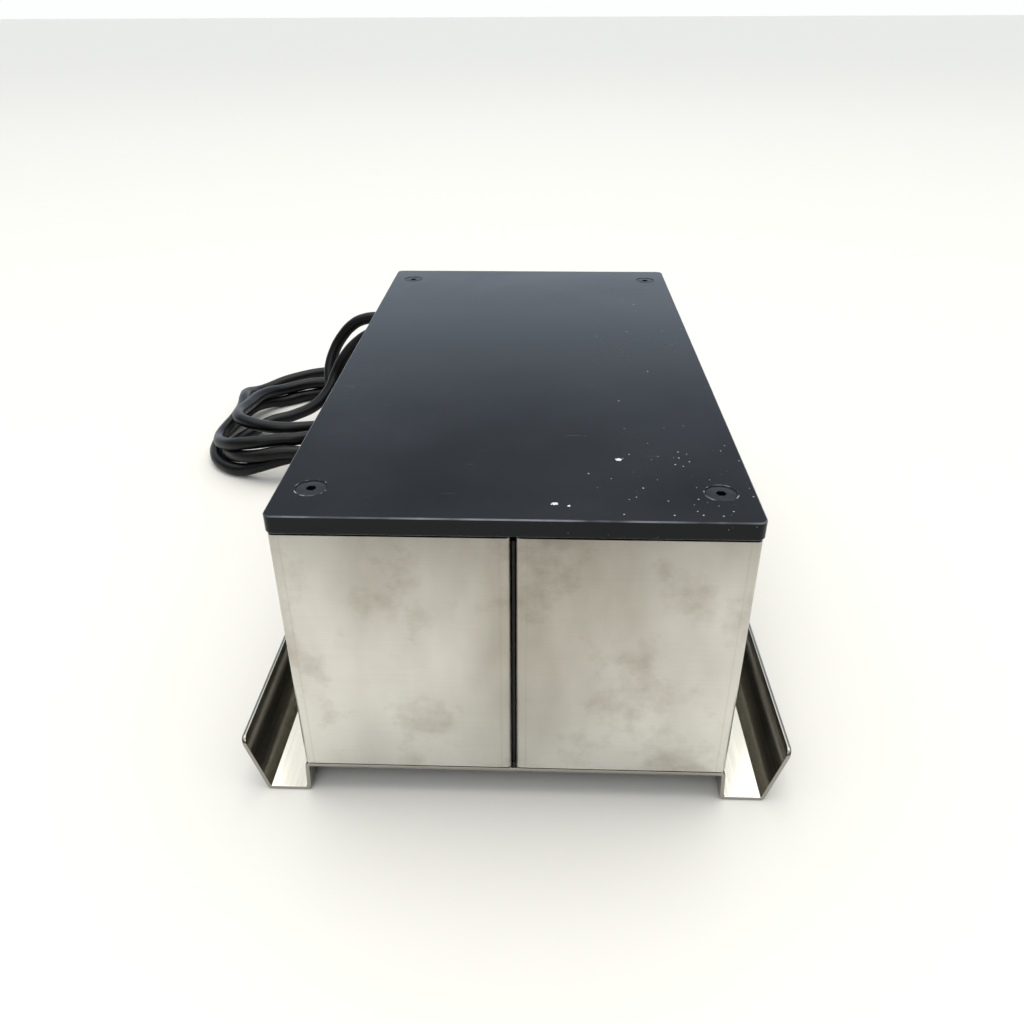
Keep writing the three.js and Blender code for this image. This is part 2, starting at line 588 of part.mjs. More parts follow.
function makeCord(name, route, steps) {
  const points = route.map((point) => new THREE.Vector3(...point));
  const curve = new THREE.CatmullRomCurve3(points, false, 'centripetal');
  const section = new THREE.Shape().absarc(0, 0, CORD_DIAMETER / 2, 0, 2 * Math.PI);
  const settings = { steps, extrudePath: curve, curveSegments: 5 };
  addPart(name, new THREE.ExtrudeGeometry(section, settings), RUBBER);
}
makeCord('cord_lead', LEAD_ROUTE, 22);
makeCord('cord_tail', TAIL_ROUTE, 26);

function makeCoil() {
  const straight = COIL.halfLength - COIL.halfWidth;
  const stadium = new THREE.Shape();
  stadium.absarc(0, straight, COIL.halfWidth, 0, Math.PI);
  stadium.absarc(0, -straight, COIL.halfWidth, Math.PI, 2 * Math.PI);
  stadium.closePath();
  addPart('cord_coil', slab(stadium, COIL.bottom, COIL.top, 12).translate(COIL.x, COIL.y, 0), RUBBER);
}
makeCoil();

// A moulded three-pin plug, lying on its side, with its pins towards +X.
function makePlug() {
  const boot = turned([[0, 0], [4.8, 0], [6.5, 20], [0, 20]], 20).rotateY(Math.PI / 2);
  const grip = block([18, 50], [-13, 13], [-12.3, 12.3]);
  addPart('plug', join(boot, [grip]).translate(PLUG.x, PLUG.y, PLUG.z), BLACK_PLASTIC);
  const face = PLUG.x + 50 + GAP;
  const blade = (y) => block([face, face + 17], [y - 0.75, y + 0.75], [PLUG.z - 7.5, PLUG.z - 1.2]);
  addPart('plug_blade_1', blade(PLUG.y - 6.35), NICKEL);
  addPart('plug_blade_2', blade(PLUG.y + 6.35), NICKEL);
  const earth = rod(2.4, face, face + 20, 16).rotateY(Math.PI / 2).translate(0, PLUG.y, PLUG.z + 7);
  addPart('plug_earth_pin', earth, NICKEL);
}
makePlug();

mixer.position.y = -MIDDLE_Y;

export default mixer;
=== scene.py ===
"""Orbital vortex mixer: the looks of its plate, folded stainless covers and stand, rear panel
and mains cord, built round the fixed frame. Sizes in millimetres are turned to metres by MM."""
import math

import bmesh
import bpy
from mathutils import Matrix, Vector


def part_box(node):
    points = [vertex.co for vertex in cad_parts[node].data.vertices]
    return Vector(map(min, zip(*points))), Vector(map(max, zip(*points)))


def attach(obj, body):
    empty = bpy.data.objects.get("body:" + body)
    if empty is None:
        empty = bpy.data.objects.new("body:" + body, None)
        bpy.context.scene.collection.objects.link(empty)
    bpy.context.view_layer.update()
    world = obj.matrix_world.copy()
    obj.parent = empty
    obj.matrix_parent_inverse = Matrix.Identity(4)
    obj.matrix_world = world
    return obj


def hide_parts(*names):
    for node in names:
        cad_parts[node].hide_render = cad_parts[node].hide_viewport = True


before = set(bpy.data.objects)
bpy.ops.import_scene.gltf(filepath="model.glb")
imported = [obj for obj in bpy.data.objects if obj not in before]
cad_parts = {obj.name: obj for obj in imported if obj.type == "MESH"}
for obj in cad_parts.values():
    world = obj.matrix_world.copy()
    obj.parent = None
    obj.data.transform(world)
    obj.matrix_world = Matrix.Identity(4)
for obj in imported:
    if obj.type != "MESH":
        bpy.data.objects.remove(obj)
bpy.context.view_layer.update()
MM = 0.001


# ---- camera ----
# A wide lens just above the bench, looking down over the front edge along the plate.
CAMERA_AT = Vector((8.03, -369.65, 250.35)) * MM
CAMERA_TURN = math.radians(2.12)
CAMERA_DOWN = math.radians(30.2)
CAMERA_ROLL = math.radians(-0.26)
lens = bpy.data.cameras.new("camera")
lens.lens = 30.47
lens.sensor_width = 36.0
lens.clip_start = 0.01
camera = bpy.data.objects.new("camera", lens)
camera.matrix_world = (
    Matrix.Translation(CAMERA_AT)
    @ Matrix.Rotation(CAMERA_TURN, 4, "Z")
    @ Matrix.Rotation(math.pi / 2 - CAMERA_DOWN, 4, "X")
    @ Matrix.Rotation(CAMERA_ROLL, 4, "Z")
)
bpy.context.scene.collection.objects.link(camera)
bpy.context.scene.camera = camera


# ---- mains cord: its route ----
# A round 3-core lead with a smooth black jacket. It leaves the strain relief, drops to a loose
# coil beside the stand, and comes back up over itself to the plug behind the housing.
CORD_DIAMETER = 7.8 * MM
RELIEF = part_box("strain_relief")
CORD_X = (RELIEF[0].x + RELIEF[1].x) / 2
CORD_Z = (RELIEF[0].z + RELIEF[1].z) / 2
PLUG_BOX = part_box("plug")
FRAME_SHIFT = -6.075  # the route's points are measured from the middle of the platform
LEAD_ROUTE = [
    (-40, 165.3, 64), (-40.6, 176, 64.6), (-45, 188, 65.6), (-54, 197, 66.2),
    (-65.7, 203.6, 67.9), (-79.1, 206, 69), (-91.5, 203.8, 68), (-103.7, 199.9, 62.6),
    (-118.2, 200.7, 53.3), (-128.6, 197.3, 41.8), (-133.2, 195.3, 33.2), (-137.5, 189.6, 23.9),
]
# Three loose turns, the upper ones leaning on those below.
COIL_ROUTE = [
    (-146.2, 183.3, 15.3), (-160.8, 177.8, 9.6), (-175, 170.8, 7.8), (-182.2, 163.8, 5.8),
    (-191.4, 142.3, 5.4), (-190.1, 127.6, 6.5), (-183.3, 114.3, 10.4), (-165.2, 101.4, 16.2),
    (-146.4, 100.8, 19.5), (-132.1, 104.8, 17.6), (-113.5, 126, 14), (-110.2, 142.8, 7.1),
    (-110.9, 172.1, 4.8), (-110, 188.5, 4.7), (-111.8, 206.7, 4.5), (-122.5, 222.3, 4.7),
    (-143.5, 230.7, 4.8), (-164.7, 225.7, 4.1), (-172.5, 219.8, 4.2), (-178.2, 216, 4),
    (-187.9, 207.6, 5.8), (-195, 195.2, 6.9), (-198.8, 188.2, 5.2), (-200.7, 180.7, 4.4),
    (-202, 145.7, 6.2), (-198.6, 126, 4.8), (-187.1, 111.3, 4.1), (-173.4, 105, 5.3),
    (-164, 103.1, 8.5), (-149.8, 105, 12.3), (-131.7, 113.9, 13.8), (-118.6, 135.1, 14.4),
    (-116.6, 158.8, 10.1), (-115, 183.9, 13.6), (-110, 223.8, 11.7), (-114.4, 250.8, 7.8),
    (-130.1, 266.9, 5.7), (-155.2, 270.7, 5.4), (-182.6, 255.2, 5.3), (-199.6, 234.9, 4.4),
    (-204.5, 215.9, 9.6), (-201.6, 200.6, 12.7), (-198.1, 185, 13.2), (-196.5, 164.6, 13.6),
    (-197.4, 135.3, 13.1), (-188, 116.4, 17.2), (-168.7, 105.7, 22.9), (-148, 107, 24.9),
    (-139.2, 109, 24.5), (-110.7, 144.8, 20.2), (-112.8, 178.3, 20.4), (-114, 200.4, 21.4),
    (-119.5, 215, 17.2), (-127.4, 223, 13.8), (-143.1, 230.5, 12.4), (-160.4, 229.6, 12),
    (-178.1, 218, 11.8), (-186.9, 202.7, 15.1), (-190.4, 175.9, 18), (-187.8, 146.8, 22.3),
    (-178.3, 134.4, 23.9), (-156.7, 126.5, 23.5), (-139.1, 131.3, 21.9), (-127.5, 142.6, 18.5),
    (-123.2, 155.3, 15.7), (-125.3, 174.1, 12.1), (-134.3, 190.8, 15.2),
]
TAIL_ROUTE = [
    (-138.2, 197.7, 19.8), (-140.6, 207.8, 31.2), (-137.4, 214.7, 42.8), (-130.8, 217.6, 53.1),
    (-123.7, 217.2, 60.3), (-116.6, 216.4, 64.4), (-102.5, 213.4, 67), (-90, 213, 64.6),
    (-79, 216, 59), (-69.5, 219.5, 51), (-60, 223, 42), (-50, 226.5, 31.5),
    (-38, 229.5, 22.5), (-24, 231.5, 16), (-10, 232, 13.2), (4, 232, 12.6),
]
cord_points = [
    Vector((x, y + FRAME_SHIFT, z)) * MM for x, y, z in [*LEAD_ROUTE, *COIL_ROUTE, *TAIL_ROUTE]
]
cord_curve = bpy.data.curves.new("mains_cord", "CURVE")
cord_curve.dimensions = "3D"
cord_curve.resolution_u = 10
cord_curve.bevel_depth = 1.0  # each point's own radius gives the thickness
cord_curve.bevel_resolution = 5
cord_curve.use_fill_caps = True
spline = cord_curve.splines.new("BEZIER")
spline.bezier_points.add(len(cord_points) - 1)
for knot, place in zip(spline.bezier_points, cord_points):
    knot.co = place
    knot.handle_left_type = "AUTO"
    knot.handle_right_type = "AUTO"
    knot.radius = CORD_DIAMETER / 2
cord = bpy.data.objects.new("mains_cord", cord_curve)
bpy.context.scene.collection.objects.link(cord)
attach(cord, "housing")
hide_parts("cord_lead", "cord_coil", "cord_tail")


# ---- floor and light ----
# A plain pale bench top under soft light from a wide overhead panel and a front fill.
def linear(code):
    """The linear colour of an sRGB hex code, with full alpha."""
    parts = [int(code[i:i + 2], 16) / 255 for i in (1, 3, 5)]
    return [p / 12.92 if p <= 0.04045 else ((p + 0.055) / 1.055) ** 2.4 for p in parts] + [1.0]


def add(material, kind, inputs=None, **settings):
    """Adds a node with its settings; an input is given a value, or linked if it gets a socket."""
    made = material.node_tree.nodes.new(kind)
    for name, value in settings.items():
        setattr(made, name, value)
    for name, value in (inputs or {}).items():
        if isinstance(value, bpy.types.NodeSocket):
            material.node_tree.links.new(value, made.inputs[name])
        else:
            made.inputs[name].default_value = value
    return made


def new_material(name, **shader_inputs):
    """A material with one Principled shader; returns it, the shader and the Object coordinates."""
    material = bpy.data.materials.new(name)
    material.use_nodes = True
    material.node_tree.nodes.clear()
    inputs = {key.replace("_", " "): value for key, value in shader_inputs.items()}
    shader = add(material, "ShaderNodeBsdfPrincipled", inputs)
    add(material, "ShaderNodeOutputMaterial", {"Surface": shader.outputs[0]})
    place = add(material, "ShaderNodeTexCoord").outputs["Object"]
    return material, shader, place


def feed(material, socket, shader, name):
    material.node_tree.links.new(socket, shader.inputs[name])


def object_from(name, bm, smooth_under=32):
    """Makes an object of a bmesh; edges sharper than the angle stay sharp."""
    mesh = bpy.data.meshes.new(name)
    bm.to_mesh(mesh)
    bm.free()
    mesh.shade_smooth()
    mesh.set_sharp_from_angle(angle=math.radians(smooth_under))
    made = bpy.data.objects.new(name, mesh)
    bpy.context.scene.collection.objects.link(made)
    return made


WALL_BEHIND = 1.6  # the wall close to the floor, behind the mixer
WALL_AHEAD = 0.16  # the same in front of it and beside it
WALL_HIGH = 0.46
CEILING = 1.95
CEILING_AHEAD = 0.35  # the share of the ceiling's light that comes from the front
floor_mesh = bmesh.new()
bmesh.ops.create_grid(floor_mesh, x_segments=1, y_segments=1, size=30)
floor = object_from("floor", floor_mesh)
floor_paint = new_material("pale_bench", Base_Color=linear("#cccac4"), Roughness=0.65)[0]
floor.data.materials.append(floor_paint)

# The room: a bright wall behind the mixer and darker ones ahead and beside it, a ceiling that is
# brighter towards the rear, and plain white wherever the room is seen directly.
world = bpy.data.worlds.new("studio")
world.use_nodes = True
world.node_tree.nodes.clear()
direction = add(world, "ShaderNodeTexCoord").outputs["Generated"]
heading = add(world, "ShaderNodeSeparateXYZ", {"Vector": direction})
height = heading.outputs["Z"]
low_wall = add(world, "ShaderNodeMapRange", {"Value": heading.outputs["Y"], "From Min": 0.25,
               "From Max": 0.75,
               "To Min": WALL_AHEAD, "To Max": WALL_BEHIND}, interpolation_type="SMOOTHSTEP")
wall = add(world, "ShaderNodeMapRange", {"Value": height, "From Min": 0.12, "From Max": 0.45,
           "To Min": low_wall.outputs[0], "To Max": WALL_HIGH}, interpolation_type="SMOOTHSTEP")
rear_share = add(world, "ShaderNodeMapRange", {"Value": heading.outputs["Y"], "From Min": -0.5,
                 "From Max": 0.1, "To Min": CEILING_AHEAD * CEILING, "To Max": CEILING},
                 interpolation_type="SMOOTHSTEP")
ceiling = add(world, "ShaderNodeMapRange", {"Value": height, "From Min": 0.5, "From Max": 0.72,
              "To Min": 0.0, "To Max": rear_share.outputs[0]}, interpolation_type="SMOOTHSTEP")
cool_wall = add(world, "ShaderNodeBackground", {"Color": linear("#deebfb"), "Strength": wall.outputs[0]})
warm_ceiling = add(world, "ShaderNodeBackground", {"Color": linear("#fffdf8"),
                   "Strength": ceiling.outputs[0]})
room = add(world, "ShaderNodeAddShader", {0: cool_wall.outputs[0], 1: warm_ceiling.outputs[0]})
seen = add(world, "ShaderNodeBackground", {"Color": linear("#fdffff"), "Strength": 1.0})
direct = add(world, "ShaderNodeLightPath").outputs["Is Camera Ray"]
shown = add(world, "ShaderNodeMixShader", {0: direct, 1: room.outputs[0], 2: seen.outputs[0]})
add(world, "ShaderNodeOutputWorld", {"Surface": shown.outputs[0]})
bpy.context.scene.world = world
bpy.context.scene.view_settings.view_transform = "Standard"


def area_light(name, place, aim, size, power, colour):
    light = bpy.data.lights.new(name, "AREA")
    light.shape = "DISK"
    light.size = size
    light.energy = power
    light.color = linear(colour)[:3]
    holder = bpy.data.objects.new(name, light)
    holder.location = place
    holder.rotation_euler = (Vector(aim) - Vector(place)).to_track_quat("-Z", "Y").to_euler()
    bpy.context.scene.collection.objects.link(holder)


area_light("overhead_panel", (0.1, 0.1, 3.0), (0.1, 0.1, 0), 2.4, 36, "#fffbf4")
area_light("front_fill", (-0.3, -1.2, 1.2), (0, -0.1, 0.0), 0.9, 6, "#fbfbff")


# ---- shape tools used by the metal pieces ----
def apply_modifiers(piece):
    """Bakes the piece's modifiers into its mesh."""
    graph = bpy.context.evaluated_depsgraph_get()
    graph.update()
    piece.data = bpy.data.meshes.new_from_object(piece.evaluated_get(graph))
    piece.modifiers.clear()


def carve(piece, cutters):
    """Cuts each cutter out of the piece and removes it."""
    for cutter in cutters:
        cut = piece.modifiers.new("cut", "BOOLEAN")
        cut.operation = "DIFFERENCE"
        cut.solver = "EXACT"
        cut.object = cutter
        apply_modifiers(piece)
        bpy.data.objects.remove(cutter)


def soften(bm, offset, segments=2, over=25):
    """Rounds every edge that is sharper than the angle."""
    sharp = [
        e for e in bm.edges
        if len(e.link_faces) == 2 and e.calc_face_angle() > math.radians(over)
    ]
    bmesh.ops.bevel(
        bm, geom=sharp, offset=offset, offset_type="OFFSET", segments=segments, profile=0.5,
        affect="EDGES", clamp_overlap=True, material=-1,
    )


def turned(profile, segments=48, rounding=0.0, centre=(0, 0, 0), along="Z"):
    """A bmesh spun from [radius, height] points in mm about an axis through centre (metres)."""
    bm = bmesh.new()
    points = [bm.verts.new((radius * MM, 0, height * MM)) for radius, height in profile]
    edges = [bm.edges.new(pair) for pair in zip(points, points[1:])]
    bmesh.ops.spin(
        bm, geom=points + edges, cent=(0, 0, 0), axis=(0, 0, 1), angle=2 * math.pi,
        steps=segments, use_merge=True, use_duplicate=False,
    )
    bmesh.ops.remove_doubles(bm, verts=bm.verts, dist=1e-6)
    bmesh.ops.recalc_face_normals(bm, faces=bm.faces)
    if rounding:
        soften(bm, rounding * MM)
    turn = {"Z": Matrix.Identity(3), "Y": Matrix.Rotation(-math.pi / 2, 3, "X"),
            "X": Matrix.Rotation(math.pi / 2, 3, "Y")}[along]
    bmesh.ops.rotate(bm, verts=bm.verts, cent=(0, 0, 0), matrix=turn)
    bmesh.ops.translate(bm, verts=bm.verts, vec=centre)
    return bm


def box_mesh(low, high):
    """A bmesh block between two corners in metres."""
    bm = bmesh.new()
    bmesh.ops.create_cube(bm, size=1)
    low, high = Vector(low), Vector(high)
    bmesh.ops.scale(bm, verts=bm.verts, vec=high - low)
    bmesh.ops.translate(bm, verts=bm.verts, vec=(low + high) / 2)
    return bm


def middle_of(node):
    low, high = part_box(node)
    return (low + high) / 2


def finish_piece(piece, material, body, slot, *nodes):
    """Gives a piece its material and says which body it rides on and which nodes it stands for."""
    if material.name not in piece.data.materials:
        piece.data.materials.clear()
        piece.data.materials.append(material)
    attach(piece, body)
    if nodes:
        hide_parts(*nodes)


# ---- stainless steel of the covers and the stand ----
# Cold-rolled 304 sheet with a fine brushed grain that runs level along each panel. Use has left
# faint brown tea-stains and a slightly duller patchwork in the reflections. The covers' colour is
# also painted darker towards their top, a painted shade standing in for a darker reflection there.
GRAIN_LENGTH = 90 * MM
COVER_GRAIN = 25 * MM
GRAIN_LINE = 0.7 * MM  # real grain is finer; this is as fine as shows
STAIN_SIZE = 28 * MM
HANDLED_PATCH = 45 * MM


def stainless(name, grain, press_marks, gloss_range, shades, patchwork_and_top_shade=False):
    """Brushed stainless. grain gives the pattern's frequency on each axis, in lines per metre."""
    material, shader, place = new_material(name, Metallic=1.0)
    stretched = add(material, "ShaderNodeMapping", {"Vector": place, "Scale": grain}).outputs[0]
    lines = add(material, "ShaderNodeTexNoise", {"Vector": stretched, "Scale": 1.0, "Detail": 3.0})
    stain = add(material, "ShaderNodeTexNoise",
                {"Vector": place, "Scale": 1 / STAIN_SIZE, "Detail": 5.0, "Roughness": 0.62})
    patch = add(material, "ShaderNodeMapRange",
                {"Value": stain.outputs[0], "From Min": 0.52, "From Max": 0.74, "To Max": 0.55})
    bright = add(material, "ShaderNodeMix",
                 {0: lines.outputs[0], 6: linear(shades[0]), 7: linear(shades[1])}, data_type="RGBA")
    stained = add(material, "ShaderNodeMix",
                  {0: patch.outputs[0], 6: bright.outputs[2], 7: linear("#9b917f")}, data_type="RGBA")
    colour = stained.outputs[2]
    # Duller patches at random, plus painted shade: the colour is multiplied darker towards the top of the
    # panel, standing in for the darker reflection there.
    if patchwork_and_top_shade:
        drift = add(material, "ShaderNodeMapping", {"Vector": place, "Scale": (1, 1, 0.45)}).outputs[0]
        cloud = add(material, "ShaderNodeTexNoise", {"Vector": drift, "Scale": 1 / HANDLED_PATCH,
                    "Detail": 4.0})
        level = add(material, "ShaderNodeSeparateXYZ", {"Vector": place}).outputs["Z"]
        painted_top_shade = add(material, "ShaderNodeMapRange", {"Value": level, "From Min": 0.02, "From Max": 0.11,
                    "To Min": -0.3, "To Max": 0.24})
        patches_with_top_shade = add(material, "ShaderNodeMath", {0: cloud.outputs[0], 1: painted_top_shade.outputs[0]},
                     operation="ADD")
        amount = add(material, "ShaderNodeMapRange", {"Value": patches_with_top_shade.outputs[0], "From Min": 0.2,
                     "From Max": 0.85})
        worn = add(material, "ShaderNodeMix",
                   {0: amount.outputs[0], 6: linear("#ffffff"), 7: linear("#aaa59c")}, data_type="RGBA")
        tinted = add(material, "ShaderNodeMix", {0: 1.0, 6: colour, 7: worn.outputs[2]},
                     data_type="RGBA", blend_type="MULTIPLY")
        colour = tinted.outputs[2]
    gloss = add(material, "ShaderNodeMapRange",
                {"Value": lines.outputs[0], "From Min": 0.3, "From Max": 0.7, "To Min": gloss_range[0],
                "To Max": gloss_range[1]})
    rough = gloss.outputs[0]
    if press_marks:
        apart = add(material, "ShaderNodeSeparateXYZ", {"Vector": place})
        across = add(material, "ShaderNodeMath", {0: apart.outputs["X"]}, operation="ABSOLUTE")
        near = None
        for mark in press_marks:
            off = add(material, "ShaderNodeMath", {0: across.outputs[0], 1: mark}, operation="SUBTRACT")
            size = add(material, "ShaderNodeMath", {0: off.outputs[0]}, operation="ABSOLUTE")
            line = add(material, "ShaderNodeMapRange", {"Value": size.outputs[0], "From Min": 0.0,
                       "From Max": 0.5 * MM, "To Min": 0.15, "To Max": 0.0})
            if near is None:
                near = line
            else:
                near = add(material, "ShaderNodeMath", {0: near.outputs[0], 1: line.outputs[0]},
                           operation="MAXIMUM")
        marked = add(material, "ShaderNodeMix",
                     {0: near.outputs[0], 6: colour, 7: linear("#8b8474")}, data_type="RGBA")
        colour = marked.outputs[2]
    feed(material, colour, shader, "Base Color")
    feed(material, rough, shader, "Roughness")
    bump = add(material, "ShaderNodeBump", {"Height": lines.outputs[0], "Strength": 0.06,
               "Distance": 0.05 * MM})
    feed(material, bump.outputs[0], shader, "Normal")
    return material


def folded_line(corners, radius, steps=6):
    """The middle line of a folded sheet through the corners (mm), with its bends made round."""
    points = [Vector(c) for c in corners]
    line = [points[0]]
    for before, corner, after in zip(points, points[1:], points[2:]):
        come, go = (corner - before).normalized(), (after - corner).normalized()
        turn = come.angle_signed(go)
        setback = radius * math.tan(abs(turn) / 2)
        start = corner - come * setback
        side = Vector((come.y, -come.x)) * math.copysign(radius, turn)
        for step in range(steps + 1):
            spoke = -side
            spoke.rotate(Matrix.Rotation(-turn * step / steps, 2))
            line.append(start + side + spoke)
    line.append(points[-1])
    return line


def folded_sheet(name, line, run, thickness, rounded=()):
    """A sheet of even thickness along a middle line in two axes, run along the third.
    run is "Y" (line in X and Z) or "Z" (line in X and Y), with its low and high ends in mm;
    rounded, if given, holds first the radius in mm that every free corner of the sheet gets."""
    axis, low, high = run
    bm = bmesh.new()
    to_3d = (lambda p, at: (p.x, at, p.y)) if axis == "Y" else (lambda p, at: (p.x, p.y, at))
    points = [bm.verts.new(Vector(to_3d(p, low)) * MM) for p in line]
    edges = [bm.edges.new(pair) for pair in zip(points, points[1:])]
    grown = bmesh.ops.extrude_edge_only(bm, edges=edges)["geom"]
    moved = [v for v in grown if isinstance(v, bmesh.types.BMVert)]
    along = Vector((0, high - low, 0)) if axis == "Y" else Vector((0, 0, high - low))
    bmesh.ops.translate(bm, verts=moved, vec=along * MM)
    if rounded:
        ends = [v for v in bm.verts if len(v.link_edges) == 2]
        bmesh.ops.bevel(bm, geom=ends, offset=rounded[0] * MM, offset_type="OFFSET", segments=6,
                        profile=0.5, affect="VERTICES", clamp_overlap=True, material=-1)
    piece = object_from(name, bm)
    wall = piece.modifiers.new("wall", "SOLIDIFY")
    wall.thickness = thickness * MM
    wall.offset = 0
    wall.use_even_offset = True
    apply_modifiers(piece)
    return piece


def crisp_edges(piece, width, over=50):
    """A small round on the cut edges of a sheet."""
    edge = piece.modifiers.new("edge", "BEVEL")
    edge.width = width * MM
    edge.segments = 2
    edge.limit_method = "ANGLE"
    edge.angle_limit = math.radians(over)
    apply_modifiers(piece)
    piece.data.shade_smooth()
    piece.data.set_sharp_from_angle(angle=math.radians(32))


# ---- stand ----
# One sheet of 1.5 mm stainless: a raised deck, short legs, two flat feet, and two flanges that
# lean outward with rounded ends. It stands on its bare feet.
STAND_LOW, STAND_HIGH = (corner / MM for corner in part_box("base_stand"))
STAND_SHEET = 1.5
STAND_BEND = 1.15  # radius of the middle line
DECK_MIDDLE = 12.75
LEG_TOP, LEG_FOOT, FLANGE_FOLD, FLANGE_TOP = 75.2, 75.8, 90.5, 97.3
half_stand = [(LEG_TOP, DECK_MIDDLE), (LEG_FOOT, STAND_SHEET / 2), (FLANGE_FOLD, STAND_SHEET / 2),
              (FLANGE_TOP, STAND_HIGH.z - 0.25)]
stand_corners = [(-x, z) for x, z in reversed(half_stand)] + half_stand
stand = folded_sheet("stand", folded_line(stand_corners, STAND_BEND), ("Y", STAND_LOW.y, STAND_HIGH.y),
                     STAND_SHEET, rounded=(3,))
crisp_edges(stand, 0.25)
stand_steel = stainless("brushed_stainless_stand", (1 / GRAIN_LINE, 1 / GRAIN_LENGTH, 1 / GRAIN_LINE), (),
                        (0.1, 0.2), ("#98968f", "#a6a49d"))
finish_piece(stand, stand_steel, "housing", "stainless", "base_stand")

# ---- covers ----
# Two half boxes of 1.2 mm stainless, each folded from one sheet. Their edges turn inward at the
# middle of the front and rear and leave a narrow groove; press-brake marks run beside the bends.
SHEET = 1.2
COVER_BEND = 1.1  # radius of the middle line
GROOVE = 1.6
PRESS_MARK = 3.4  # from a panel's edge to the line the press brake left
FLANGE_DEPTH = 9
COVER_LIFT = 0.2  # a hairline of shadow under the bottom edge
cover_low, cover_high = (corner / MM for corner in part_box("cover_left"))
rear_openings = {
    -1: [("round", "strain_relief", 6.9), ("round", "fuse_holder", 6.6)],
    1: [("round", "speed_pot", 4.2), ("slot", "switch_body", (10, 6.5))],
}
# The covers take the random duller patches and the painted shade that darkens them towards the top.
cover_steel = stainless(
    "brushed_stainless_covers", (1 / COVER_GRAIN, 1 / COVER_GRAIN, 1 / GRAIN_LINE),
    [(-cover_low.x - PRESS_MARK) * MM, (GROOVE / 2 + PRESS_MARK) * MM], (0.28, 0.37),
    ("#dad8d1", "#e5e3dd"), patchwork_and_top_shade=True,
)
for name, side in (("cover_left", -1), ("cover_right", 1)):
    outer = -cover_low.x - SHEET / 2
    inner = GROOVE / 2 + SHEET / 2
    front, rear = cover_low.y + SHEET / 2, cover_high.y - SHEET / 2
    corners = [(inner, front + FLANGE_DEPTH), (inner, front), (outer, front), (outer, rear),
               (inner, rear), (inner, rear - FLANGE_DEPTH)]
    line = folded_line([(side * x, y) for x, y in corners], COVER_BEND)
    cover = folded_sheet(f"{name}_shell", line, ("Z", cover_low.z + COVER_LIFT, cover_high.z), SHEET)
    cutters = []
    for form, node, size in rear_openings[side]:
        at = middle_of(node)
        if form == "round":
            hole = turned([(0, rear - 4), (size, rear - 4), (size, rear + 4), (0, rear + 4)],
                          centre=(at.x, 0, at.z), along="Y")
        else:
            hole = box_mesh((at.x - size[0] * MM, (rear - 4) * MM, at.z - size[1] * MM),
                            (at.x + size[0] * MM, (rear + 4) * MM, at.z + size[1] * MM))
        cutters.append(object_from(f"{node}_opening", hole))
    carve(cover, cutters)
    crisp_edges(cover, 0.2)
    finish_piece(cover, cover_steel, "housing", "stainless", name)


# ---- platform ----
# A 1/4 in aluminium plate with a satin black anodised skin. Its edges have a fine chamfer, rubbed
# grey; use has left specks, scuffs and scratched rings round the two front screws.
PLATE_LOW, PLATE_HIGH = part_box("platform")
SCREWS = [f"platform_screw_{i}" for i in range(1, 5)]
screw_x = abs(middle_of(SCREWS[0]).x)
front_screw_y = middle_of(SCREWS[0]).y
CHIPS = (((12.5, -137.3), 0.9), ((17, -138.5), 0.5), ((34.5, -106.5), 1.0))  # place and radius in mm
CLOUD_SIZE = 45.45 * MM  # slow drift in the dye
FINE_GRIT = 1.111 * MM  # the etched grain under the dye, far coarser than real so that it shows
SPECK_SPACING = 2.381 * MM
SCRATCH_WIDTH = 0.6667 * MM
RING_RADIUS = 5.35  # mm, just outside a screw's countersink
RING_BREAKS = 3.03 * MM
EDGE_WEAR = 16.67 * MM


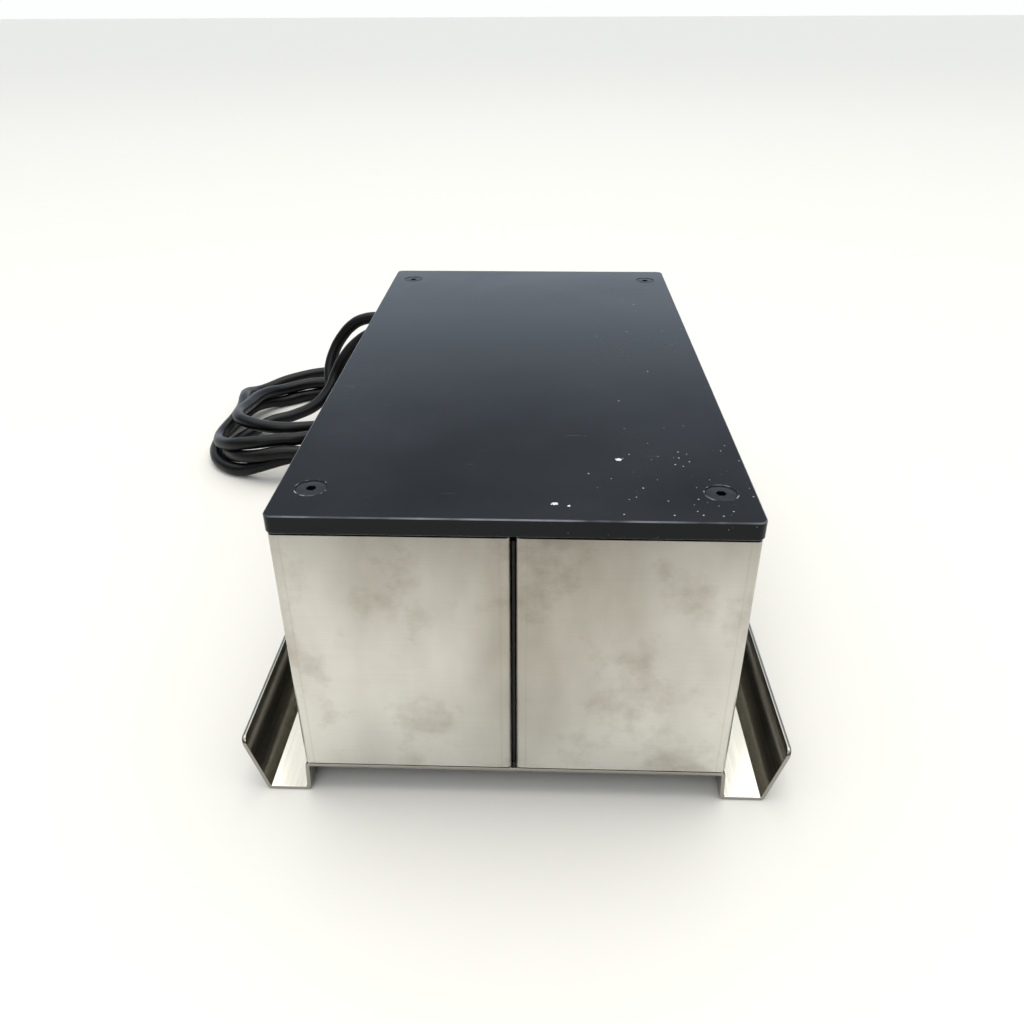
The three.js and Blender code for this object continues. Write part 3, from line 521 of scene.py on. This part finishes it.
def black_anodised():
    material, shader, place = new_material("black_anodised_aluminium", Specular_IOR_Level=0.2)
    cloud = add(material, "ShaderNodeTexNoise", {"Vector": place, "Scale": 1 / CLOUD_SIZE, "Detail": 4.0})
    fine = add(material, "ShaderNodeTexNoise", {"Vector": place, "Scale": 1 / FINE_GRIT, "Detail": 2.0})
    apart = add(material, "ShaderNodeSeparateXYZ", {"Vector": place})
    # specks: small dots, thickest at the front right
    dots = add(material, "ShaderNodeTexVoronoi", {"Vector": place, "Scale": 1 / SPECK_SPACING})
    pick = add(material, "ShaderNodeSeparateColor", {"Color": dots.outputs["Color"]})
    spread = add(material, "ShaderNodeMapRange", {"Value": pick.outputs[1], "To Min": 0.09, "To Max": 0.17})
    dot = add(material, "ShaderNodeMapRange", {"Value": dots.outputs["Distance"], "From Min": 0.02,
              "From Max": spread.outputs[0], "To Min": 0.9, "To Max": 0.0})
    to_right = add(material, "ShaderNodeMapRange", {"Value": apart.outputs["X"], "From Min": 0.02,
                   "From Max": 0.065, "To Min": 0.014, "To Max": 0.7})
    to_front = add(material, "ShaderNodeMapRange", {"Value": apart.outputs["Y"], "From Min": -0.135,
                   "From Max": -0.06, "To Min": 1.0, "To Max": 0.08})
    share = add(material, "ShaderNodeMath", {0: to_right.outputs[0], 1: to_front.outputs[0]},
                operation="MULTIPLY")
    chosen = add(material, "ShaderNodeMath", {0: pick.outputs[0], 1: share.outputs[0]},
                 operation="LESS_THAN")
    speck = add(material, "ShaderNodeMath", {0: dot.outputs[0], 1: chosen.outputs[0]}, operation="MULTIPLY")
    # scratches: long thin marks, two directions
    marks = []
    for turn, rate in ((1.45, 45.0), (-0.8, 60.0)):
        laid = add(material, "ShaderNodeMapping", {"Vector": place, "Rotation": (0, 0, turn),
                   "Scale": (rate, 1 / SCRATCH_WIDTH, 1)})
        streak = add(material, "ShaderNodeTexNoise", {"Vector": laid.outputs[0], "Scale": 1.0,
                     "Detail": 1.0})
        marks.append(add(material, "ShaderNodeMapRange", {"Value": streak.outputs[0], "From Min": 0.79,
                         "From Max": 0.84, "To Min": 0.0, "To Max": 0.25}))
    scratch = add(material, "ShaderNodeMath", {0: marks[0].outputs[0], 1: marks[1].outputs[0]},
                  operation="MAXIMUM")
    # broken bright rings round the front screws
    folded = add(material, "ShaderNodeMath", {0: apart.outputs["X"]}, operation="ABSOLUTE")
    flat = add(material, "ShaderNodeCombineXYZ", {"X": folded.outputs[0], "Y": apart.outputs["Y"]})
    reach = add(material, "ShaderNodeVectorMath", {0: flat.outputs[0], 1: (screw_x, front_screw_y, 0)},
                operation="DISTANCE")
    offset = add(material, "ShaderNodeMath", {0: reach.outputs["Value"], 1: RING_RADIUS * MM},
                 operation="SUBTRACT")
    width = add(material, "ShaderNodeMath", {0: offset.outputs[0]}, operation="ABSOLUTE")
    band = add(material, "ShaderNodeMapRange", {"Value": width.outputs[0], "From Min": 0.1 * MM,
               "From Max": 0.3 * MM, "To Min": 0.8, "To Max": 0.0})
    broken = add(material, "ShaderNodeTexNoise", {"Vector": place, "Scale": 1 / RING_BREAKS, "Detail": 3.0})
    kept = add(material, "ShaderNodeMapRange", {"Value": broken.outputs[0], "From Min": 0.5,
               "From Max": 0.62})
    ring = add(material, "ShaderNodeMath", {0: band.outputs[0], 1: kept.outputs[0]}, operation="MULTIPLY")
    worn = add(material, "ShaderNodeMath", {0: scratch.outputs[0], 1: ring.outputs[0]}, operation="MAXIMUM")
    base = add(material, "ShaderNodeMix", {0: cloud.outputs[0], 6: linear("#030507"),
               7: linear("#080c12")}, data_type="RGBA")
    rubbed = add(material, "ShaderNodeMix", {0: worn.outputs[0], 6: base.outputs[2],
                 7: linear("#8d9299")}, data_type="RGBA")
    # three chips through to bare metal: two at the front edge, one farther back
    ragged = add(material, "ShaderNodeTexNoise", {"Vector": place, "Scale": 1 / SCRATCH_WIDTH,
                 "Detail": 2.0})
    chipped = speck
    for (x, y), radius in CHIPS:
        away = add(material, "ShaderNodeVectorMath", {0: place, 1: (x * MM, y * MM, PLATE_HIGH.z)},
                   operation="DISTANCE")
        uneven = add(material, "ShaderNodeMath", {0: ragged.outputs[0], 1: 2 * radius * MM},
                     operation="MULTIPLY")
        inside = add(material, "ShaderNodeMath", {0: away.outputs["Value"], 1: uneven.outputs[0]},
                     operation="LESS_THAN")
        chipped = add(material, "ShaderNodeMath", {0: chipped.outputs[0], 1: inside.outputs[0]},
                      operation="MAXIMUM")
    dusted = add(material, "ShaderNodeMix", {0: chipped.outputs[0], 6: rubbed.outputs[2],
                 7: linear("#c9c9c6")}, data_type="RGBA")
    feed(material, dusted.outputs[2], shader, "Base Color")
    grain = add(material, "ShaderNodeMapRange", {"Value": cloud.outputs[0], "From Min": 0.3,
                "From Max": 0.7, "To Min": 0.2, "To Max": 0.29})
    feed(material, grain.outputs[0], shader, "Roughness")
    bump = add(material, "ShaderNodeBump", {"Height": fine.outputs[0], "Strength": 0.12,
               "Distance": 0.05 * MM})
    feed(material, bump.outputs[0], shader, "Normal")
    return material


def rubbed_edge():
    """The anodising is thin on the chamfer, so grey metal shows along it in an uneven line."""
    material, shader, place = new_material("rubbed_anodised_edge", Metallic=0.6, Roughness=0.38)
    wear = add(material, "ShaderNodeTexNoise", {"Vector": place, "Scale": 1 / EDGE_WEAR, "Detail": 5.0})
    level = add(material, "ShaderNodeMapRange", {"Value": wear.outputs[0], "From Min": 0.35,
                "From Max": 0.65})
    tone = add(material, "ShaderNodeMix", {0: level.outputs[0], 6: linear("#24272b"),
               7: linear("#62676c")}, data_type="RGBA")
    feed(material, tone.outputs[2], shader, "Base Color")
    return material


PLATE_CORNER = 3  # mm, in plan
TOP_CHAMFER, BOTTOM_CHAMFER = 0.4, 0.4
plate_mesh = box_mesh(PLATE_LOW, PLATE_HIGH)
corner_edges = [e for e in plate_mesh.edges if abs(e.verts[0].co.z - e.verts[1].co.z) > MM]
bmesh.ops.bevel(plate_mesh, geom=corner_edges, offset=PLATE_CORNER * MM, offset_type="OFFSET", segments=8,
                profile=0.5, affect="EDGES", material=-1)
for height, chamfer in ((PLATE_HIGH.z, TOP_CHAMFER), (PLATE_LOW.z, BOTTOM_CHAMFER)):
    rim = [e for e in plate_mesh.edges if all(abs(v.co.z - height) < 0.01 * MM for v in e.verts)]
    bmesh.ops.bevel(plate_mesh, geom=rim, offset=chamfer * MM, offset_type="OFFSET", segments=1,
                    profile=0.5, affect="EDGES", material=1)
plate = object_from("platform_plate", plate_mesh)
HEAD_RADIUS, HEAD_HEIGHT, SHANK_RADIUS = 4.85, 2.35, 2.5
HEAD_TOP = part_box(SCREWS[0])[1].z / MM
recesses = []
for screw in SCREWS:
    at = middle_of(screw)
    profile = [(0, -12), (SHANK_RADIUS + 0.3, -12), (SHANK_RADIUS + 0.3, -HEAD_HEIGHT),
               (HEAD_RADIUS + 0.2, 0), (HEAD_RADIUS + 0.2, 3), (0, 3)]
    recesses.append(object_from(f"{screw}_recess", turned(profile, 64, centre=(at.x, at.y, HEAD_TOP * MM))))
anodised = black_anodised()
plate.data.materials.append(anodised)
plate.data.materials.append(rubbed_edge())
carve(plate, recesses)
finish_piece(plate, anodised, "platform", "black_plate", "platform")
plate.data.shade_smooth()
plate.data.set_sharp_from_angle(angle=math.radians(20))

# ---- platform screws ----
# M5 flat-head socket screws in blackened steel, flush in their countersinks. Their tone and
# gloss wander at random, with some patches rubbed a little brighter.
HEAD_WEAR = 2 * MM
KEY_RADIUS, KEY_DEPTH = 1.73, 2.2  # mm, a 3 mm key
blacked, blacked_shader, blacked_place = new_material("blackened_steel", Metallic=0.85)
wear = add(blacked, "ShaderNodeTexNoise", {"Vector": blacked_place, "Scale": 1 / HEAD_WEAR, "Detail": 4.0})
tone = add(blacked, "ShaderNodeMix", {0: wear.outputs[0], 6: linear("#0f1113"), 7: linear("#2e3136")},
           data_type="RGBA")
feed(blacked, tone.outputs[2], blacked_shader, "Base Color")
rub = add(blacked, "ShaderNodeMapRange", {"Value": wear.outputs[0], "To Min": 0.28, "To Max": 0.5})
feed(blacked, rub.outputs[0], blacked_shader, "Roughness")
for screw in SCREWS:
    at = middle_of(screw)
    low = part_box(screw)[0].z / MM - HEAD_TOP
    profile = [(0, low), (SHANK_RADIUS, low), (SHANK_RADIUS, -HEAD_HEIGHT), (HEAD_RADIUS, -0.25),
               (HEAD_RADIUS, 0), (0, 0)]
    head = object_from(f"{screw}_head", turned(profile, 64, 0.12, (at.x, at.y, HEAD_TOP * MM)))
    key = turned([(0, -KEY_DEPTH), (KEY_RADIUS, -KEY_DEPTH), (KEY_RADIUS, 1), (0, 1)], 6,
                 centre=(at.x, at.y, HEAD_TOP * MM))
    carve(head, [object_from(f"{screw}_key", key)])
    head.data.set_sharp_from_angle(angle=math.radians(32))
    finish_piece(head, blacked, "platform", "screw_steel", screw)


# ---- cord jacket and strain relief ----
# Black PVC, moulded smooth: a low sheen with a faint unevenness from being bent and handled. The
# strain relief is one moulding with the jacket: a flange, then flexible rings that taper.
HANDLING_HAZE = 14.29 * MM


def black_pvc(name, shades, sheen, grit):
    material, shader, place = new_material(name, Specular_IOR_Level=0.2)
    haze = add(material, "ShaderNodeTexNoise", {"Vector": place, "Scale": 1 / HANDLING_HAZE, "Detail": 4.0})
    tone = add(material, "ShaderNodeMix", {0: haze.outputs[0], 6: linear(shades[0]),
               7: linear(shades[1])}, data_type="RGBA")
    feed(material, tone.outputs[2], shader, "Base Color")
    gloss = add(material, "ShaderNodeMapRange", {"Value": haze.outputs[0], "From Min": 0.3, "From Max": 0.7,
                "To Min": sheen[0], "To Max": sheen[1]})
    feed(material, gloss.outputs[0], shader, "Roughness")
    pores = add(material, "ShaderNodeTexNoise", {"Vector": place, "Scale": 1 / grit, "Detail": 2.0})
    bump = add(material, "ShaderNodeBump", {"Height": pores.outputs[0], "Strength": 0.15,
               "Distance": 0.06 * MM})
    feed(material, bump.outputs[0], shader, "Normal")
    return material


jacket = black_pvc("black_pvc_jacket", ("#030303", "#080809"), (0.32, 0.44), 0.8333 * MM)
moulded = black_pvc("black_moulded_plastic", ("#0b0b0c", "#171718"), (0.34, 0.48), 0.5556 * MM)
cord_curve.materials.append(jacket)

PANEL_Y = cover_high.y  # the outer face of the rear panel
relief_low, relief_high = (corner.y / MM for corner in RELIEF)
RINGS = 7
ring_pitch = (relief_high - PANEL_Y - 6) / RINGS
relief_profile = [(0, relief_low), (8.4, relief_low), (8.4, PANEL_Y - 1.5), (6.6, PANEL_Y - 1.5),
                  (6.6, PANEL_Y + 0.3), (8, PANEL_Y + 0.3), (8, PANEL_Y + 3), (6.4, PANEL_Y + 4)]
for ring in range(RINGS):
    start = PANEL_Y + 5 + ring * ring_pitch
    radius = 6.4 - 1.5 * (ring + 0.5) / RINGS
    relief_profile += [(radius, start), (radius, start + 0.66 * ring_pitch),
                       (radius - 0.9, start + 0.7 * ring_pitch), (radius - 0.9, start + 0.96 * ring_pitch)]
relief_profile += [(4.9, relief_high - 1), (4.9, relief_high), (0, relief_high)]
relief = object_from("strain_relief_rings", turned(relief_profile, 40, 0.15, (CORD_X, 0, CORD_Z), "Y"))
finish_piece(relief, jacket, "housing", "cord_rubber", "strain_relief")


# ---- mains plug ----
# A moulded three-pin plug in the same black PVC, with finger ribs on its sides and a ringed boot.
# Its blades are nickel-plated brass, and the earth pin is a solid round one.
def merged(first, *others):
    """Adds the other bmeshes to the first one."""
    for other in others:
        carrier = bpy.data.meshes.new("carrier")
        other.to_mesh(carrier)
        other.free()
        first.from_mesh(carrier)
        bpy.data.meshes.remove(carrier)
    return first


plug_low, plug_high = (corner / MM for corner in PLUG_BOX)
plug_centre = (plug_low + plug_high) / 2
GRIP_START = plug_high.x - 32
grip_mesh = box_mesh((GRIP_START * MM, plug_low.y * MM, plug_low.z * MM), plug_high * MM)
rear_face = [v for v in grip_mesh.verts if v.co.x < (GRIP_START + 1) * MM]
bmesh.ops.scale(grip_mesh, verts=rear_face, vec=(1, 0.72, 0.72), space=Matrix.Translation(
    -Vector((0, plug_centre.y, plug_centre.z)) * MM))
soften(grip_mesh, 2.6 * MM, 4)
boot_profile = [(0, 0), (4.8, 0)]
for ring in range(5):
    radius = 4.9 + 0.34 * ring
    boot_profile += [(radius, 3.4 * ring + 0.4), (radius + 0.1, 3.4 * ring + 2.4),
                     (radius - 0.8, 3.4 * ring + 2.6), (radius - 0.8, 3.4 * ring + 3.3)]
boot_profile += [(6.4, 17.6), (6.5, 20), (0, 20)]
boot_mesh = turned(boot_profile, 36, 0.12, (plug_low.x * MM, plug_centre.y * MM, plug_centre.z * MM), "X")
ribs = []
for side in (-1, 1):
    for rib in range(5):
        x = plug_high.x - 9 - 3.6 * rib
        y = plug_centre.y + side * (plug_high.y - plug_centre.y - 0.6 - 0.28 * rib)
        bar = box_mesh(((x - 0.8) * MM, (y - 1.2) * MM, (plug_centre.z - 7.5) * MM),
                       ((x + 0.8) * MM, (y + 1.2) * MM, (plug_centre.z + 7.5) * MM))
        soften(bar, 0.45 * MM, 2)
        ribs.append(bar)
plug = object_from("mains_plug", merged(grip_mesh, boot_mesh, *ribs))
finish_piece(plug, moulded, "housing", "black_plastic", "plug")


def metal(name, dull, bright, gloss, patch):
    """A bare or plated metal whose tone and gloss wander over patches of that size in metres."""
    material, shader, place = new_material(name, Metallic=1.0)
    wander = add(material, "ShaderNodeTexNoise", {"Vector": place, "Scale": 1 / patch, "Detail": 5.0})
    tone = add(material, "ShaderNodeMix", {0: wander.outputs[0], 6: linear(dull), 7: linear(bright)},
               data_type="RGBA")
    feed(material, tone.outputs[2], shader, "Base Color")
    shine = add(material, "ShaderNodeMapRange", {"Value": wander.outputs[0], "From Min": 0.3,
                "From Max": 0.7, "To Min": gloss[0], "To Max": gloss[1]})
    feed(material, shine.outputs[0], shader, "Roughness")
    return material


nickel = metal("nickel_plated_brass", "#b3ad9c", "#d6d0bf", (0.18, 0.32), 6 * MM)
for blade in ("plug_blade_1", "plug_blade_2"):
    low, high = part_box(blade)
    blade_mesh = box_mesh(low, high)
    tip = [e for e in blade_mesh.edges if all(v.co.x > high.x - 0.01 * MM for v in e.verts)]
    bmesh.ops.bevel(blade_mesh, geom=tip, offset=0.6 * MM, offset_type="OFFSET", segments=2,
                    profile=0.5, affect="EDGES", material=-1)
    piece = object_from(f"{blade}_metal", blade_mesh)
    middle = (low + high) / 2
    eye = turned([(0, -2), (1.5, -2), (1.5, 2), (0, 2)], 24, 0, (high.x - 4 * MM, middle.y, middle.z), "Y")
    carve(piece, [object_from(f"{blade}_eye", eye)])
    piece.data.set_sharp_from_angle(angle=math.radians(32))
    finish_piece(piece, nickel, "housing", "plug_metal", blade)
low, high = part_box("plug_earth_pin")
pin_length = (high.x - low.x) / MM
pin_mesh = turned([(0, 0), (2.4, 0), (2.4, pin_length - 2.2), (1.9, pin_length - 0.7), (1.1, pin_length),
                   (0, pin_length)], 32, 0.1, (low.x, (low.y + high.y) / 2, (low.z + high.z) / 2), "X")
earth_pin = object_from("plug_earth_pin_metal", pin_mesh)
finish_piece(earth_pin, nickel, "housing", "plug_metal", "plug_earth_pin")


# ---- rear panel: fuse holder ----
# A black panel fuse holder: a flange against the steel and a fluted cap with a coin slot.
CAP_FLUTES = 6.9 * MM
fuse = middle_of("fuse_holder")
fuse_low, fuse_high = (corner.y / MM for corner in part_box("fuse_holder"))
holder_mesh = turned([(0, fuse_low), (5.4, fuse_low), (6.3, fuse_low + 6), (6.3, PANEL_Y + 0.3),
                      (8.5, PANEL_Y + 0.3), (8.5, PANEL_Y + 2.4), (7.7, PANEL_Y + 3.2), (5, PANEL_Y + 3.2),
                      (5, PANEL_Y + 3.0), (0, PANEL_Y + 3.0)], 48, 0.15, (fuse.x, 0, fuse.z), "Y")
holder = object_from("fuse_holder_body", holder_mesh)
cap_mesh = turned([(0, PANEL_Y + 3.1), (6.6, PANEL_Y + 3.1), (6.6, fuse_high - 0.9),
                   (5.7, fuse_high), (0, fuse_high)], 48, 0, (fuse.x, 0, fuse.z), "Y")
cap = object_from("fuse_holder_cap", cap_mesh)
slot = box_mesh((fuse.x - 5 * MM, (fuse_high - 1.6) * MM, fuse.z - 0.7 * MM),
                (fuse.x + 5 * MM, (fuse_high + 1) * MM, fuse.z + 0.7 * MM))
flutes = [object_from("coin_slot", slot)]
for flute in range(16):
    turn = 2 * math.pi * flute / 16
    at = (fuse.x + CAP_FLUTES * math.cos(turn), 0, fuse.z + CAP_FLUTES * math.sin(turn))
    groove = turned([(0, PANEL_Y + 4.4), (0.75, PANEL_Y + 4.4), (0.75, fuse_high + 1),
                     (0, fuse_high + 1)], 12, 0, at, "Y")
    flutes.append(object_from(f"flute_{flute}", groove))
carve(cap, flutes)
for piece in (holder, cap):
    piece.data.set_sharp_from_angle(angle=math.radians(32))
    finish_piece(piece, moulded, "housing", "black_plastic", "fuse_holder")

# ---- rear panel: power switch ----
# A snap-in rocker switch: a rounded bezel round a pocket, and a dished rocker with the usual
# bar and ring marks in white, which tips about an upright pin.
bezel_low, bezel_high = (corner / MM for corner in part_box("switch_body"))
switch = middle_of("switch_body")
bezel_mesh = box_mesh((switch.x - 11.5 * MM, (PANEL_Y + 0.3) * MM, switch.z - 8 * MM),
                      (switch.x + 11.5 * MM, bezel_high.y * MM, switch.z + 8 * MM))
uprights = [e for e in bezel_mesh.edges if abs(e.verts[0].co.y - e.verts[1].co.y) > MM]
bmesh.ops.bevel(bezel_mesh, geom=uprights, offset=1.6 * MM, offset_type="OFFSET", segments=5,
                profile=0.5, affect="EDGES", material=-1)
brow = [e for e in bezel_mesh.edges if all(v.co.y > bezel_high.y * MM - 0.01 * MM for v in e.verts)]
bmesh.ops.bevel(bezel_mesh, geom=brow, offset=0.7 * MM, offset_type="OFFSET", segments=3,
                profile=0.5, affect="EDGES", material=-1)
case_mesh = box_mesh((switch.x - 9.7 * MM, bezel_low.y * MM, switch.z - 6.2 * MM),
                     (switch.x + 9.7 * MM, (PANEL_Y + 0.6) * MM, switch.z + 6.2 * MM))
bezel = object_from("power_switch_case", merged(bezel_mesh, case_mesh))
pocket = box_mesh((switch.x - 8.4 * MM, (PANEL_Y - 8.05) * MM, switch.z - 4.7 * MM),
                  (switch.x + 8.4 * MM, (PANEL_Y + 5) * MM, switch.z + 4.7 * MM))
carve(bezel, [object_from("switch_pocket", pocket)])
bezel.data.set_sharp_from_angle(angle=math.radians(32))
finish_piece(bezel, moulded, "housing", "black_plastic", "switch_body")

ROCKER_HALF, ROCKER_TALL, ROCKER_TILT = 7.2, 4.1, math.radians(-10)
pivot = Vector((switch.x, (PANEL_Y - 2.45) * MM, switch.z))
rocker_mesh = bmesh.new()
dish = [(-ROCKER_HALF, 4.6), (-0.75 * ROCKER_HALF, 4.25), (-0.4 * ROCKER_HALF, 3.85), (0, 3.6),
        (0.4 * ROCKER_HALF, 3.85), (0.75 * ROCKER_HALF, 4.25), (ROCKER_HALF, 4.6)]
outline = [(-ROCKER_HALF, 1), (-4, -3), (4, -3), (ROCKER_HALF, 1), *reversed(dish)]
rocker_face = rocker_mesh.faces.new(
    [rocker_mesh.verts.new((x * MM, y * MM, -ROCKER_TALL * MM)) for x, y in outline])
raised = bmesh.ops.extrude_face_region(rocker_mesh, geom=[rocker_face])["geom"]
bmesh.ops.translate(rocker_mesh, verts=[v for v in raised if isinstance(v, bmesh.types.BMVert)],
                    vec=(0, 0, 2 * ROCKER_TALL * MM))
bmesh.ops.recalc_face_normals(rocker_mesh, faces=rocker_mesh.faces)
soften(rocker_mesh, 0.35 * MM, 2, 30)
bmesh.ops.rotate(rocker_mesh, verts=rocker_mesh.verts, cent=(0, 0, 0),
                 matrix=Matrix.Rotation(ROCKER_TILT, 3, "Z"))
bmesh.ops.translate(rocker_mesh, verts=rocker_mesh.verts, vec=pivot)
rocker = object_from("power_rocker_cap", rocker_mesh)
finish_piece(rocker, moulded, "power_rocker", "black_plastic", "power_rocker")

PRINT_WEAR = 1.111 * MM
white_mark, mark_shader, mark_place = new_material("white_pad_print", Base_Color=linear("#d9d8d2"))
worn_print = add(white_mark, "ShaderNodeTexNoise", {"Vector": mark_place, "Scale": 1 / PRINT_WEAR,
                 "Detail": 3.0})
print_gloss = add(white_mark, "ShaderNodeMapRange", {"Value": worn_print.outputs[0], "To Min": 0.45,
                  "To Max": 0.7})
feed(white_mark, print_gloss.outputs[0], mark_shader, "Roughness")
bar_mesh = box_mesh((-4.55 * MM, 4.0 * MM, -1.5 * MM), (-4.15 * MM, 4.3 * MM, 1.5 * MM))
ring_mesh = turned([(1.1, 3.9), (1.5, 3.9), (1.5, 4.2), (1.1, 4.2), (1.1, 3.9)], 32, 0,
                   (4.35 * MM, 0, 0), "Y")
marks_mesh = merged(bar_mesh, ring_mesh)
bmesh.ops.rotate(marks_mesh, verts=marks_mesh.verts, cent=(0, 0, 0),
                 matrix=Matrix.Rotation(ROCKER_TILT, 3, "Z"))
bmesh.ops.translate(marks_mesh, verts=marks_mesh.verts, vec=pivot)
marks = object_from("power_rocker_marks", marks_mesh)
finish_piece(marks, white_mark, "power_rocker", "black_plastic", "power_rocker")

# ---- rear panel: speed knob ----
# A push-on knob in black ABS with a skirt, a fluted grip and a white pointer line. It turns on
# the control's shaft; the control's threaded neck comes through the panel behind it.
knob_at = middle_of("speed_knob")
knob_low, knob_high = (corner.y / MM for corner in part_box("speed_knob"))
FLUTE_REACH = 9.25 * MM
knob_mesh = turned([(0, knob_low), (3, knob_low), (3, PANEL_Y + 2.6), (11, PANEL_Y + 2.6),
                    (11, PANEL_Y + 4.6), (10.4, PANEL_Y + 5.2), (9.2, PANEL_Y + 5.8),
                    (8.8, knob_high - 1.2), (7.9, knob_high - 0.2), (7.2, knob_high),
                    (6.8, knob_high - 0.35), (0, knob_high - 0.35)], 96, 0.12,
                   (knob_at.x, 0, knob_at.z), "Y")
knob = object_from("speed_knob_cap", knob_mesh)
flutes = []
for flute in range(18):
    turn = 2 * math.pi * (flute + 0.5) / 18
    at = (knob_at.x + FLUTE_REACH * math.cos(turn), 0, knob_at.z + FLUTE_REACH * math.sin(turn))
    groove = turned([(0, PANEL_Y + 6.6), (0.85, PANEL_Y + 6.6), (0.85, knob_high + 1),
                     (0, knob_high + 1)], 12, 0, at, "Y")
    flutes.append(object_from(f"knob_flute_{flute}", groove))
carve(knob, flutes)
knob.data.set_sharp_from_angle(angle=math.radians(32))
finish_piece(knob, moulded, "speed_knob", "black_plastic", "speed_knob")
pointer_mesh = box_mesh((knob_at.x - 0.45 * MM, (knob_high - 0.5) * MM, knob_at.z + 1.5 * MM),
                        (knob_at.x + 0.45 * MM, (knob_high - 0.05) * MM, knob_at.z + 6.6 * MM))
pointer = object_from("speed_knob_pointer", pointer_mesh)
finish_piece(pointer, white_mark, "speed_knob", "black_plastic", "speed_knob")

# ---- screws under the deck ----
# M4 pan-head socket screws in stainless: the outer four hold the covers' feet, the inner four the
# drive bridge. Their heads sit below the deck.
screw_metal = metal("stainless_screw_steel", "#9a9892", "#c4c2bb", (0.2, 0.34), 3 * MM)
for screw in [f"{kind}_screw_{i}" for kind in ("bridge", "cover") for i in range(1, 5)]:
    low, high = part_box(screw)
    at = (low + high) / 2
    under, top = low.z / MM, high.z / MM
    profile = [(0, under), (3.1, under), (3.75, under + 0.5), (4, under + 1.3), (4, under + 2.4),
               (2, under + 2.4), (2, top - 0.4), (1.6, top), (0, top)]
    piece = object_from(f"{screw}_steel", turned(profile, 40, 0.08, (at.x, at.y, 0)))
    key = turned([(0, under - 1), (1.44, under - 1), (1.44, under + 1.3), (0, under + 1.3)], 6, 0,
                 (at.x, at.y, 0))
    carve(piece, [object_from(f"{screw}_key", key)])
    piece.data.set_sharp_from_angle(angle=math.radians(32))
    finish_piece(piece, screw_metal, "housing", "screw_steel", screw)


# ---- the works inside ----
# The drive keeps its fixed shapes and gets its real finishes: cast and milled aluminium, ground
# bearing steel, a varnished motor can, a rubber belt and a glass-epoxy board. The joiner strips
# in the covers' grooves are coloured near black, a painted shade for the grooves.
def coated(name, shade, light_shade, gloss, grit):
    """A painted, moulded or varnished skin with a fine orange-peel texture."""
    material, shader, place = new_material(name)
    peel = add(material, "ShaderNodeTexNoise", {"Vector": place, "Scale": 1 / grit, "Detail": 3.0})
    tone = add(material, "ShaderNodeMix", {0: peel.outputs[0], 6: linear(shade), 7: linear(light_shade)},
               data_type="RGBA")
    feed(material, tone.outputs[2], shader, "Base Color")
    shine = add(material, "ShaderNodeMapRange", {"Value": peel.outputs[0], "To Min": gloss[0],
                "To Max": gloss[1]})
    feed(material, shine.outputs[0], shader, "Roughness")
    bump = add(material, "ShaderNodeBump", {"Height": peel.outputs[0], "Strength": 0.2,
               "Distance": 0.1 * MM})
    feed(material, bump.outputs[0], shader, "Normal")
    return material


cast = metal("sand_cast_aluminium", "#8f9294", "#b4b7b9", (0.42, 0.6), 1.5 * MM)
ground = metal("ground_bearing_steel", "#a8a9aa", "#c6c6c5", (0.15, 0.26), 4 * MM)
zinc = metal("zinc_plated_steel", "#a9adab", "#c9cbc4", (0.25, 0.4), 5 * MM)
motor_varnish = coated("black_motor_varnish", "#151617", "#26282a", (0.35, 0.55), 2 * MM)
# Painted shade: the joiner strips and their screws are made near black so that the grooves between the
# covers read dark.
groove_shade_black = coated("joiner_painted_groove_shade", "#0b0b0b", "#161616", (0.5, 0.7), 2 * MM)
belt_rubber = coated("moulded_belt_rubber", "#111111", "#1f1f1f", (0.6, 0.8), 1 * MM)
board = coated("green_solder_mask", "#123f29", "#1d5638", (0.25, 0.45), 3 * MM)
finishes = {
    cast: ["drive_bridge", "spindle_housing", "spindle_pulley", "motor_pulley", "hub_cup",
           *[f"idler_cup_{i}" for i in range(1, 5)], *[f"idler_crank_{i}" for i in range(1, 5)]],
    ground: ["spindle_bearing_lower", "spindle_bearing_upper", "drive_spindle", "motor_shaft",
             "hub_bearing",
             *[f"idler_bearing_{i}" for i in range(1, 5)]],
    zinc: ["counterweight", "board_bracket"],
    groove_shade_black: ["front_joiner", "rear_joiner", "front_joiner_screw", "rear_joiner_screw"],
    motor_varnish: ["motor_body"],
    belt_rubber: ["drive_belt"],
    board: ["control_board"],
    moulded: ["speed_pot"],
}
for finish, nodes in finishes.items():
    for node in nodes:
        slots = bpy.data.objects[node].material_slots
        for place in slots:
            place.material = finish
